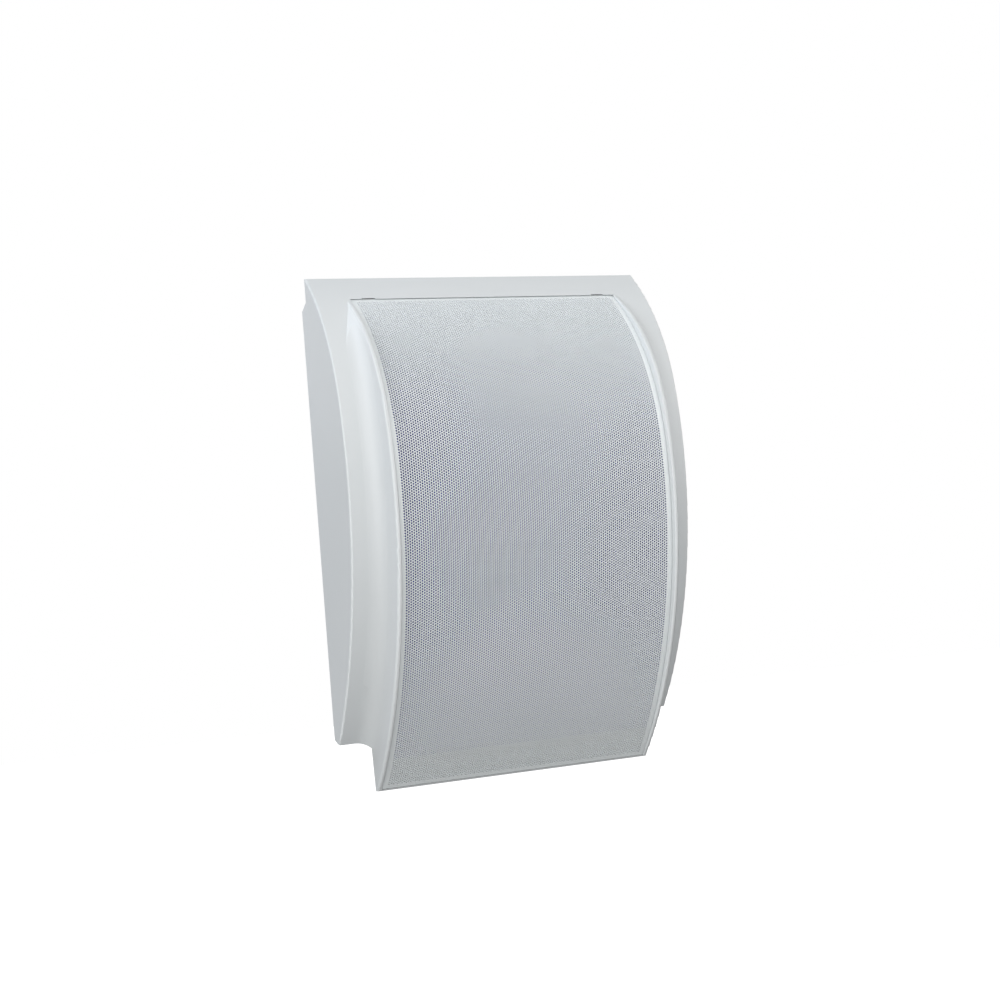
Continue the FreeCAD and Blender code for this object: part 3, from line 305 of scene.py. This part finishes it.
acoustic_cloth = woven("woven_acoustic_cloth", "#1e0e6a", "#3a26bc", 0.9, "UV")
spider_cloth = woven("resin_stiffened_cloth", "#8a6a2c", "#b08c45", 0.7, "Object")
surround_cloth = woven("doped_cloth_roll", "#101011", "#232326", 0.8, "Object")
cone_paper = fibrous("pressed_paper_cone", "#17171a", "#26262a", 0.8, 1.6, 0.08)
gasket_card = fibrous("pressed_card_ring", "#1e1e1f", "#2b2b2c", 0.85, 1.2, 0.06)
fibre_board = fibrous("fibre_board", "#7c6347", "#94795a", 0.8, 2.2, 0.05)
ferrite = fibrous("sintered_ferrite", "#1d1e20", "#2b2c2f", 0.55, 0.9, 0.03)
print("soft finishes:", acoustic_cloth.name, cone_paper.name)

# %% [markdown]
# ## Dress the solids
# A solid whose shape is already right keeps its mesh and only gets a finish. Assigning to the
# material slots leaves the mesh untouched.

# %% Finishes of the solids
FINISHES = {
    housing_abs: ["front_housing"],
    cover_abs: ["rear_cover"],
    grille_paint: ["grille"],
    acoustic_cloth: ["grille_cloth"],
    black_rubber: ["cable_grommet"],
    fibre_board: ["baffle"],
    basket_paint: ["driver_basket"],
    gasket_card: ["driver_gasket"],
    surround_cloth: ["surround"],
    cone_paper: ["cone", "dust_cap"],
    coil_wire: ["voice_coil", "transformer_winding"],
    spider_cloth: ["spider"],
    zinc_plate: [
        "top_plate", "yoke", "transformer_clamp", "rear_cover_screws", "baffle_screws", "driver_screws",
        "transformer_screws", "terminal_block_screws",
    ],
    ferrite: ["magnet"],
    tag_laminate: ["driver_terminal"],
    core_steel: ["transformer_core"],
    black_nylon: ["transformer_bobbin"],
    cream_nylon: ["terminal_block"],
    brass_bar: ["terminal_screws"],
}
for finish, names in FINISHES.items():
    for name in names:
        for slot in nodes[name].material_slots:
            slot.material = finish
print("dressed:", sum(len(names) for names in FINISHES.values()), "of", len(nodes))

# %% [markdown]
# ## The bow of the grille
# The grille is a flat sheet rolled into a bow: one long arc from the bottom, then a tighter arc over
# the shoulder. A sheet is easiest to punch while it is flat, so the holes are cut in flat
# coordinates and every point is then rolled onto the bow. The bow's ends come from the solid.

# %% Measure the bow
BOW_NOSE = 5.6 * MM
BOW_SHOULDER = 25.0 * MM
# The springy sheet stands a little proud of the solid at the top, nearly flush with the housing.
TOP_LIFT = 1.2 * MM
grille_low, grille_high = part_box("grille")


def end_depth(height):
    """How far the grille's front stands off the wall at its bottom or top edge."""
    points = nodes["grille"].data.vertices
    return max(-point.co.y for point in points if abs(point.co.z - height) < NEAR)


class Bow:
    """Two arcs that meet smoothly at the shoulder, measured along the sheet from its bottom edge."""

    def __init__(self, nose_depth, low, low_depth, high, high_depth):
        rise, drop = BOW_NOSE - low, nose_depth - low_depth
        self.radius = (rise * rise + drop * drop) / (2 * drop)
        self.centre = Vector((nose_depth - self.radius, BOW_NOSE))
        self.start = math.asin((low - BOW_NOSE) / self.radius)
        self.turn = math.asin((BOW_SHOULDER - BOW_NOSE) / self.radius)
        joint = self.centre + self.radius * self.outward(self.turn)
        reach = Vector((high_depth, high)) - joint
        self.upper_radius = -reach.length_squared / (2 * reach.dot(self.outward(self.turn)))
        self.upper_centre = joint - self.upper_radius * self.outward(self.turn)
        self.end = math.asin((high - self.upper_centre.y) / self.upper_radius)
        self.lower_length = self.radius * (self.turn - self.start)
        self.length = self.lower_length + self.upper_radius * (self.end - self.turn)

    @staticmethod
    def outward(angle):
        """The direction away from an arc's centre at an angle."""
        return Vector((math.cos(angle), math.sin(angle)))

    def place(self, along, lift):
        """Depth and height of a point a distance along the sheet and lifted off its face."""
        if along < self.lower_length:
            angle = self.start + along / self.radius
            return self.centre + (self.radius + lift) * self.outward(angle)
        angle = self.turn + (along - self.lower_length) / self.upper_radius
        return self.upper_centre + (self.upper_radius + lift) * self.outward(angle)

    def along_at(self, height, lift):
        """How far along the sheet a height lies, by halving the stretch that holds it."""
        low, high = 0.0, self.length
        while high - low > NEAR:
            middle = (low + high) / 2
            if self.place(middle, lift).y < height:
                low = middle
            else:
                high = middle
        return low


high_depth = end_depth(grille_high.z) + TOP_LIFT
bow = Bow(-grille_low.y, grille_low.z, end_depth(grille_low.z), grille_high.z, high_depth)
print("sheet length:", round(bow.length / MM, 1), "mm")
print("radii:", round(bow.radius / MM), "and", round(bow.upper_radius / MM), "mm")

# %% [markdown]
# ## The perforated sheet
# The real sheet has many thousands of round holes in a honeycomb pattern with upright columns. A
# boolean for each hole would take hours. Here a triangle grid has one vertex where each hole goes,
# a vertex bevel turns every one of them into a small hexagon, and those hexagons are deleted. The
# sheet is made in upright panels, because one mesh of all the holes would be too heavy. A panel has
# one column more than it needs and is cut between two columns, so that no hole changes its shape at
# a seam. Each panel is given its thickness before it is rolled onto the bow.

# %% Punch and roll the sheet
HOLE_PITCH = 1.48 * MM
HOLE_RADIUS = 0.62 * MM
COLUMN_STEP = HOLE_PITCH * math.sqrt(3) / 2
SHEET = 1.0 * MM
FOLD_RADIUS = 0.5 * MM
FOLD_STEPS = 3
RETURN_DEPTH = 3.8 * MM
SIDE_MARGIN = 2.7 * MM
END_MARGIN = 1.9 * MM
TOP_REACH = 0.28 * MM
SIDE_REACH = 0.15 * MM
PANELS = 4
WELD = 0.005 * MM
FACING = 0.5
half_width = grille_high.x + SIDE_REACH
flat_half = half_width - FOLD_RADIUS
columns = 2 * int((half_width - SIDE_MARGIN) / COLUMN_STEP) + 1
rows = int((bow.length - 2 * END_MARGIN) / HOLE_PITCH)
row_start = (bow.length - (rows - 0.5) * HOLE_PITCH) / 2


def column_place(column):
    """How far to the right of the middle a column of holes lies."""
    return (column - (columns - 1) / 2) * COLUMN_STEP


def punched_panel(first, last):
    """A flat panel with the hole columns from first to last, as a bmesh in across and along."""
    panel = bmesh.new()
    wide = last - first + 3
    tall = rows + 2
    bmesh.ops.create_grid(panel, x_segments=wide - 1, y_segments=tall - 1, size=1.0)
    left = -flat_half if first == 0 else column_place(first - 1)
    right = flat_half if last == columns - 1 else column_place(last + 1)
    holes = []
    for point in panel.verts:
        column = round((point.co.x + 1) / 2 * (wide - 1)) - 1
        row = round((point.co.y + 1) / 2 * (tall - 1)) - 1
        inside = 0 <= column <= last - first and 0 <= row < rows
        stagger = 0.5 * ((first + column) % 2) if 0 <= first + column < columns else 0
        across = column_place(first + column)
        if column < 0:
            across = left
        elif column > last - first:
            across = right
        along = row_start + (row + stagger) * HOLE_PITCH
        if row < 0:
            along = 0.0
        elif row >= rows:
            along = bow.length + TOP_REACH
        point.co = (across, along, 0)
        if inside:
            holes.append(point)
    bmesh.ops.triangulate(panel, faces=panel.faces[:], quad_method="SHORT_EDGE")
    cut = bmesh.ops.bevel(
        panel, geom=holes, offset=HOLE_RADIUS, offset_type="OFFSET", segments=1, profile=0.5,
        affect="VERTICES", clamp_overlap=True, material=-1,
    )
    bmesh.ops.delete(panel, geom=cut["faces"], context="FACES_ONLY")
    for seam, side in ((first - 0.5, -1), (last + 0.5, 1)):
        if 0 < seam < columns - 1:
            everything = panel.verts[:] + panel.edges[:] + panel.faces[:]
            bmesh.ops.bisect_plane(
                panel, geom=everything, dist=NEAR / 10, plane_co=(column_place(seam), 0, 0),
                plane_no=(side, 0, 0), clear_outer=True,
            )
    return panel


def fold_side(panel, side):
    """Add the strips that turn back along one side of the sheet."""
    arc = FOLD_RADIUS * math.pi / 2
    steps = [arc / FOLD_STEPS] * FOLD_STEPS + [RETURN_DEPTH - FOLD_RADIUS]
    border = side * flat_half
    rim = [
        edge for edge in panel.edges
        if edge.is_boundary and all(abs(point.co.x - border) < NEAR for point in edge.verts)
    ]
    for step in steps:
        grown = bmesh.ops.extrude_edge_only(panel, edges=rim)["geom"]
        rim = [item for item in grown if isinstance(item, bmesh.types.BMEdge)]
        moved = {point for edge in rim for point in edge.verts}
        bmesh.ops.translate(panel, verts=list(moved), vec=(side * step, 0, 0))


def rolled(across, along, lift):
    """Where a point of the flat sheet lies once the sides are folded and the sheet is on its bow."""
    side = math.copysign(1, across)
    past = abs(across) - flat_half
    straight = max(past - FOLD_RADIUS * math.pi / 2, 0)
    bend = FOLD_RADIUS + lift
    if bend < 0 and past > bend:
        across = side * (flat_half + bend)
        lift = min(lift, -FOLD_RADIUS - straight)
    elif past > 0:
        angle = min(past / FOLD_RADIUS, math.pi / 2)
        across = side * (flat_half + bend * math.sin(angle))
        lift = bend * math.cos(angle) - FOLD_RADIUS - straight
    depth, height = bow.place(along, lift)
    return Vector((across, -depth, height))


def bake_chart(panel):
    """Lay a panel out for baking: its front, the walls turned into the holes, its back beside it."""
    chart = panel.loops.layers.uv.new("OFBake")
    low = min(point.co.x for point in panel.verts) - SHEET
    wide = max(point.co.x for point in panel.verts) + SHEET - low
    tall = bow.length + 3 * SHEET
    for face in panel.faces:
        aside = wide if face.normal.z < -FACING else 0
        for loop in face.loops:
            spot = loop.vert.co.copy()
            if abs(face.normal.z) < FACING and spot.z < -SHEET / 2:
                spot += face.normal * HOLE_RADIUS / 2
            loop[chart].uv = ((spot.x - low + aside) / (2 * wide), (spot.y + SHEET) / tall)


def new_piece(name, shape, finish, smooth_angle=30):
    """Turn a bmesh into a piece of the speaker, smooth except at its sharp edges."""
    mesh = bpy.data.meshes.new(name)
    shape.to_mesh(mesh)
    shape.free()
    for face in mesh.polygons:
        face.use_smooth = True
    mesh.set_sharp_from_angle(angle=math.radians(smooth_angle))
    mesh.materials.append(finish)
    piece = bpy.data.objects.new(name, mesh)
    bpy.context.scene.collection.objects.link(piece)
    return piece


def triangle_count(piece):
    """How many triangles a piece's faces make."""
    return sum(len(face.vertices) - 2 for face in piece.data.polygons)


panel_ends = [round(columns * share / PANELS) for share in range(PANELS + 1)]
for number, (first, stop) in enumerate(zip(panel_ends, panel_ends[1:]), start=1):
    sheet = punched_panel(first, stop - 1)
    if first == 0:
        fold_side(sheet, -1)
    if stop == columns:
        fold_side(sheet, 1)
    bmesh.ops.solidify(sheet, geom=sheet.faces[:], thickness=SHEET)
    top = max(point.co.z for point in sheet.verts)
    bmesh.ops.translate(sheet, verts=sheet.verts[:], vec=(0, 0, -top))
    bmesh.ops.recalc_face_normals(sheet, faces=sheet.faces[:])
    bake_chart(sheet)
    for point in sheet.verts:
        point.co = rolled(*point.co)
    bmesh.ops.remove_doubles(sheet, verts=sheet.verts[:], dist=WELD)
    bmesh.ops.recalc_face_normals(sheet, faces=sheet.faces[:])
    panel = new_piece(f"grille_panel_{number}", sheet, grille_paint)
    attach(panel, "cabinet")
    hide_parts("grille")
    print(panel.name, "holes:", (stop - first) * rows, "triangles:", triangle_count(panel))

# %% [markdown]
# ## The cloth behind the grille
# The cloth is glued to the back of the sheet, so it follows the same bow, and at the top it reaches
# in front of the ledge, so that no view through the holes ends inside the box. It is a grid rolled
# onto the bow and given a thin wall, with a map along the threads so that the weave stays square.

# %% Stretch the cloth
CLOTH_GAP = 1.05 * MM
CLOTH_WALL = 0.4 * MM
CLOTH_CELLS = (16, 48)
CLOTH_TOP_REACH = 10.0 * MM
cloth_low, cloth_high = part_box("grille_cloth")
cloth_start = bow.along_at(cloth_low.z, -CLOTH_GAP)
cloth_stop = bow.along_at(cloth_high.z + CLOTH_TOP_REACH, -CLOTH_GAP)

cloth_shape = bmesh.new()
bmesh.ops.create_grid(cloth_shape, x_segments=CLOTH_CELLS[0], y_segments=CLOTH_CELLS[1], size=0.5)
threads = cloth_shape.loops.layers.uv.new("threads")
for point in cloth_shape.verts:
    across = point.co.x * (cloth_high.x - cloth_low.x)
    along = cloth_start + (point.co.y + 0.5) * (cloth_stop - cloth_start)
    for loop in point.link_loops:
        loop[threads].uv = (across, along)
    point.co = (across, along, 0)
for point in cloth_shape.verts:
    depth, height = bow.place(point.co.y, -CLOTH_GAP)
    point.co = (point.co.x, -depth, height)
bmesh.ops.solidify(cloth_shape, geom=cloth_shape.faces[:], thickness=CLOTH_WALL)
bmesh.ops.recalc_face_normals(cloth_shape, faces=cloth_shape.faces[:])
cloth = new_piece("stretched_cloth", cloth_shape, acoustic_cloth, smooth_angle=60)
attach(cloth, "cabinet")
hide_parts("grille_cloth")
print("cloth:", round((cloth_stop - cloth_start) / MM), "mm long")

# %% [markdown]
# ## The moving suspension
# The cone hangs in two springs: a half roll of doped cloth round its rim, and round the voice coil a
# pleated disc, the spider. Both are held at their outer edge and travel with the cone at their inner
# edge, so they have to bend. A blend bends a piece along one straight line. Each ring is spun as
# eight sectors from one profile. The profile is drawn by extruding a single vertex from the rim
# inwards, and the roll is a spin of it.

# %% Spin the roll and the spider
SECTORS = 8
SECTOR_STEPS = 8
SECTOR = 2 * math.pi / SECTORS
SPRING_SHEET = 0.6 * MM
ROLL_RADIUS = 4.5 * MM
ROLL_STEPS = 14
LIP_DEPTH = 47.8 * MM
LIP_OUTER = 64.5 * MM
SCREW_CIRCLE = 60.5 * MM
ROLL_OUTER = 55.3 * MM
LIP_INNER = 43.5 * MM
LIP_HOLE = 3.5 * MM
SPIDER_DEPTH = 27.0 * MM
SPIDER_OUTER = 30.0 * MM
PLEATS_OUTER = 27.5 * MM
PLEATS_INNER = 15.5 * MM
SPIDER_INNER = 13.0 * MM
PLEATS = 4
PLEAT_STEPS = 10
PLEAT_HEIGHT = 1.2 * MM


def drawn_on(profile, tip, radius, depth):
    """Draw a profile on from its tip to a radius and a depth."""
    grown = bmesh.ops.extrude_vert_indiv(profile, verts=[tip])["verts"][0]
    grown.co = (radius, -depth, 0)
    return grown


def profile_from(radius, depth):
    """A new profile and its first point, at a radius and a depth."""
    profile = bmesh.new()
    return profile, bmesh.ops.create_vert(profile, co=(radius, -depth, 0))["vert"][0]


def roll_profile():
    """The glued outer lip, the half roll and the inner lip, from the rim inwards."""
    profile, tip = profile_from(LIP_OUTER, LIP_DEPTH)
    for radius in (SCREW_CIRCLE, ROLL_OUTER):
        tip = drawn_on(profile, tip, radius, LIP_DEPTH)
    arc = bmesh.ops.spin(
        profile, geom=[tip], cent=(ROLL_OUTER - ROLL_RADIUS, -LIP_DEPTH, 0), axis=(0, 0, 1),
        angle=-math.pi, steps=ROLL_STEPS,
    )
    tip = next(item for item in arc["geom_last"] if isinstance(item, bmesh.types.BMVert))
    drawn_on(profile, tip, LIP_INNER, LIP_DEPTH)
    return profile


def spider_profile():
    """The glued outer ring, the soft waves of the pleats and the inner ring."""
    profile, tip = profile_from(SPIDER_OUTER, SPIDER_DEPTH)
    for step in range(PLEATS * PLEAT_STEPS + 1):
        share = step / (PLEATS * PLEAT_STEPS)
        lift = PLEAT_HEIGHT * (1 - math.cos(2 * math.pi * PLEATS * share)) / 2
        radius = PLEATS_OUTER + (PLEATS_INNER - PLEATS_OUTER) * share
        tip = drawn_on(profile, tip, radius, SPIDER_DEPTH + lift)
    drawn_on(profile, tip, SPIDER_INNER, SPIDER_DEPTH)
    return profile


def spun_sector(shape, middle, hole_circle=None):
    """Spin a profile through one sector about the driver's axis and give it its thickness."""
    turn = Matrix.Rotation(-(middle + SECTOR / 2), 3, "Y")
    bmesh.ops.rotate(shape, verts=shape.verts[:], cent=(0, 0, 0), matrix=turn)
    bmesh.ops.spin(
        shape, geom=shape.verts[:] + shape.edges[:], cent=(0, 0, 0), axis=(0, 1, 0), angle=SECTOR,
        steps=SECTOR_STEPS,
    )
    if hole_circle:
        spot = Vector((hole_circle * math.cos(middle), -LIP_DEPTH, hole_circle * math.sin(middle)))
        under_screw = min(shape.verts, key=lambda point: (point.co - spot).length)
        hole = bmesh.ops.bevel(
            shape, geom=[under_screw], offset=LIP_HOLE, offset_type="OFFSET", segments=4, profile=0.5,
            affect="VERTICES", clamp_overlap=True, material=-1,
        )
        bmesh.ops.delete(shape, geom=hole["faces"], context="FACES")
    bmesh.ops.recalc_face_normals(shape, faces=shape.faces[:])
    if sum(face.normal.y * face.calc_area() for face in shape.faces) > 0:
        bmesh.ops.reverse_faces(shape, faces=shape.faces[:])
    bmesh.ops.solidify(shape, geom=shape.faces[:], thickness=SPRING_SHEET)


def spring(node, profile, finish, hole_circle=None):
    """A ring of spun sectors that stands for a suspension solid."""
    for number in range(SECTORS):
        middle = number * SECTOR
        shape = profile()
        spun_sector(shape, middle, hole_circle if number % 2 else None)
        sector = new_piece(f"{node}_sector_{number + 1}", shape, finish, smooth_angle=50)
        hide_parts(node)
        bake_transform(sector)
    print(node, "sectors:", SECTORS, "triangles each:", triangle_count(sector))


spring("surround", roll_profile, surround_cloth, SCREW_CIRCLE)
spring("spider", spider_profile, spider_cloth)

# %% [markdown]
# ## Screws
# Plated pan-head screws hold the covers, the baffle, the driver and the transformer, and small brass
# cheese heads clamp the wires. The solids have plain cylinders there. A grid of five by five faces
# is the middle of a head: its middle row and column, pushed in and narrowed, are the driver recess.
# The rim of the grid is extruded ring by ring, each ring a circle, into the head and the shank.
# Every group is set by the box of the solid that it stands for.

# %% Turn the screws
RECESS_CELLS = 5
RECESS_SHARE = 0.46
RECESS_DEPTH = 0.6
RECESS_TAPER = 0.7
TIP_TAPER = 3
HEAD_HEIGHT = 2.0 * MM
PAN_HEAD = 3.2 * MM
PAN_SHANK = 1.75 * MM
CHEESE_HEAD = 2.6 * MM
# Each ring's radius as a share of the head's, and its drop as a share of the head's height.
PAN_RINGS = ((0.68, 0.0), (0.86, 0.12), (0.96, 0.35), (1.0, 0.62), (1.0, 1.0))
CHEESE_RINGS = ((0.8, 0.0), (0.94, 0.06), (1.0, 0.2), (1.0, 1.0))


def turned_screw(head_radius, rings, shank_radius, length, cross):
    """One screw along Z, its head's top at zero and its shank below."""
    shape = bmesh.new()
    half = head_radius * RECESS_SHARE
    bmesh.ops.create_grid(shape, x_segments=RECESS_CELLS, y_segments=RECESS_CELLS, size=half)
    ring = [edge for edge in shape.edges if edge.is_boundary]
    cell = half / RECESS_CELLS
    middles = {face: face.calc_center_median() for face in shape.faces}
    recess = [
        face for face, middle in middles.items()
        if abs(middle.x) < cell or cross and abs(middle.y) < cell
    ]
    stations = [(head_radius * share, -HEAD_HEIGHT * drop) for share, drop in rings]
    if shank_radius:
        stations += [(shank_radius, -HEAD_HEIGHT), (shank_radius, shank_radius - length)]
        stations.append((shank_radius / TIP_TAPER, -length))
    for radius, height in stations:
        grown = bmesh.ops.extrude_edge_only(shape, edges=ring)["geom"]
        ring = [item for item in grown if isinstance(item, bmesh.types.BMEdge)]
        for point in {point for edge in ring for point in edge.verts}:
            point.co = (*(point.co.xy.normalized() * radius), height)
    bmesh.ops.contextual_create(shape, geom=ring)
    pushed = bmesh.ops.extrude_face_region(shape, geom=recess)["geom"]
    bmesh.ops.delete(shape, geom=recess, context="FACES")
    floor_points = [item for item in pushed if isinstance(item, bmesh.types.BMVert)]
    bmesh.ops.translate(shape, verts=floor_points, vec=(0, 0, -HEAD_HEIGHT * RECESS_DEPTH))
    bmesh.ops.scale(shape, verts=floor_points, vec=(RECESS_TAPER, RECESS_TAPER, 1))
    bmesh.ops.recalc_face_normals(shape, faces=shape.faces[:])
    return shape


def screw_group(node, across, up, faces_wall, finish, head_radius, rings, shank_radius, cross):
    """Screws in even columns and rows that fill the box of the solid they stand for."""
    low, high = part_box(node)
    shape = turned_screw(head_radius, rings, shank_radius, high.y - low.y, cross)
    turn = Matrix.Rotation(math.radians(-90 if faces_wall else 90), 3, "X")
    bmesh.ops.rotate(shape, verts=shape.verts[:], cent=(0, 0, 0), matrix=turn)
    single = shape.verts[:] + shape.edges[:] + shape.faces[:]
    first = Vector((low.x + head_radius, high.y if faces_wall else low.y, low.z + head_radius))
    span = high - low - Vector((2 * head_radius, 0, 2 * head_radius))
    for column in range(across):
        for row in range(up):
            copied = bmesh.ops.duplicate(shape, geom=single)["geom"]
            points = [item for item in copied if isinstance(item, bmesh.types.BMVert)]
            step = Vector((span.x * column / max(across - 1, 1), 0, span.z * row / max(up - 1, 1)))
            bmesh.ops.translate(shape, verts=points, vec=first + step)
    spare = [item for item in single if isinstance(item, bmesh.types.BMVert)]
    bmesh.ops.delete(shape, geom=spare, context="VERTS")
    group = new_piece(f"turned_{node}", shape, finish)
    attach(group, "cabinet")
    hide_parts(node)
    print(group.name, "triangles:", triangle_count(group))


for node, across, up, faces_wall in (
    ("rear_cover_screws", 2, 2, True), ("baffle_screws", 2, 2, True), ("driver_screws", 2, 2, False),
    ("transformer_screws", 2, 1, False), ("terminal_block_screws", 2, 1, False),
):
    screw_group(node, across, up, faces_wall, zinc_plate, PAN_HEAD, PAN_RINGS, PAN_SHANK, True)
screw_group("terminal_screws", 3, 2, False, brass_bar, CHEESE_HEAD, CHEESE_RINGS, None, False)

# %% [markdown]
# ## The studio
# The speaker hangs in front of plain white. Two wide windows give even light from the left and the
# front, and square soft boxes at arm's length stand above, the left one a little cool. As they are
# near, their light fades from the top of a flat side to its bottom, and as they are large, shadows
# have no edges. Two more boxes light the right side and the back, which the first view doesn't show.
# The floor and the world read white to the camera, and the floor lights nothing.

# %% Floor, lamps and world
FLOOR_LEVEL = -0.55
FLOOR_SIZE = 9.0
# Each lamp has its azimuth and elevation in degrees and its strength, and each box its tint too.
WINDOWS = {"left_window": (-60, 10, 1.28), "front_window": (10, 10, 0.57)}
WINDOW_SPREAD = math.radians(50)
BOX_SIZE = 0.6
BOX_DISTANCE = 0.9
SOFT_BOXES = {
    "left_box": (-100, 45, 2.3, "#e8f1ff"),
    "front_box": (-25, 20, 1.69, "#ffffff"),
    "right_box": (45, 30, 1.56, "#ffffff"),
    "right_side_box": (120, 20, 2.0, "#ffffff"),
    "back_box": (175, 25, 3.5, "#ffffff"),
}
WORLD_LIGHT = 0.256

floor_shape = bmesh.new()
bmesh.ops.create_grid(floor_shape, x_segments=1, y_segments=1, size=FLOOR_SIZE / 2)
bmesh.ops.translate(floor_shape, verts=floor_shape.verts[:], vec=(0, 0, FLOOR_LEVEL))
floor_paint, floor_shader, floor_place = new_material(
    "pale_floor", Roughness=0.9, Emission_Color=(1, 1, 1, 1), Emission_Strength=1.0
)
tone(floor_paint, floor_shader, floor_place, "#f4f4f4", "#f8f8f8", size_mm=400)
floor = new_piece("floor", floor_shape, floor_paint)
floor.visible_diffuse = False
floor.visible_glossy = False


def hung_lamp(name, kind, azimuth, elevation, energy):
    """A lamp that looks at the speaker from an azimuth and an elevation in degrees."""
    lamp = bpy.data.objects.new(name, bpy.data.lights.new(name, kind))
    lamp.data.energy = energy
    turn, climb = math.radians(azimuth), math.radians(elevation)
    level_reach = math.cos(climb)
    towards = Vector((math.sin(turn) * level_reach, -math.cos(turn) * level_reach, math.sin(climb)))
    lamp.location = towards * BOX_DISTANCE
    lamp.rotation_euler = towards.to_track_quat("Z", "Y").to_euler()
    lamp.visible_camera = False
    bpy.context.scene.collection.objects.link(lamp)
    return lamp


for name, place in WINDOWS.items():
    hung_lamp(name, "SUN", *place).data.angle = WINDOW_SPREAD
for name, (*place, tint) in SOFT_BOXES.items():
    lamp = hung_lamp(name, "AREA", *place)
    lamp.data.size = BOX_SIZE
    lamp.data.color = linear(tint)[:3]

world = bpy.data.worlds.new("studio")
world.use_nodes = True
bpy.context.scene.world = world
background = world.node_tree.nodes["Background"]
background.inputs["Color"].default_value = (1, 1, 1, 1)
path = add_node(world, "ShaderNodeLightPath")
strength = add_node(
    world, "ShaderNodeMapRange", {"To Min": WORLD_LIGHT, "To Max": 1.0},
    {"Value": path.outputs["Is Camera Ray"]},
)
world.node_tree.links.new(strength.outputs["Result"], background.inputs["Strength"])
bpy.context.scene.view_settings.view_transform = "Standard"
print("soft boxes:", ", ".join(SOFT_BOXES))
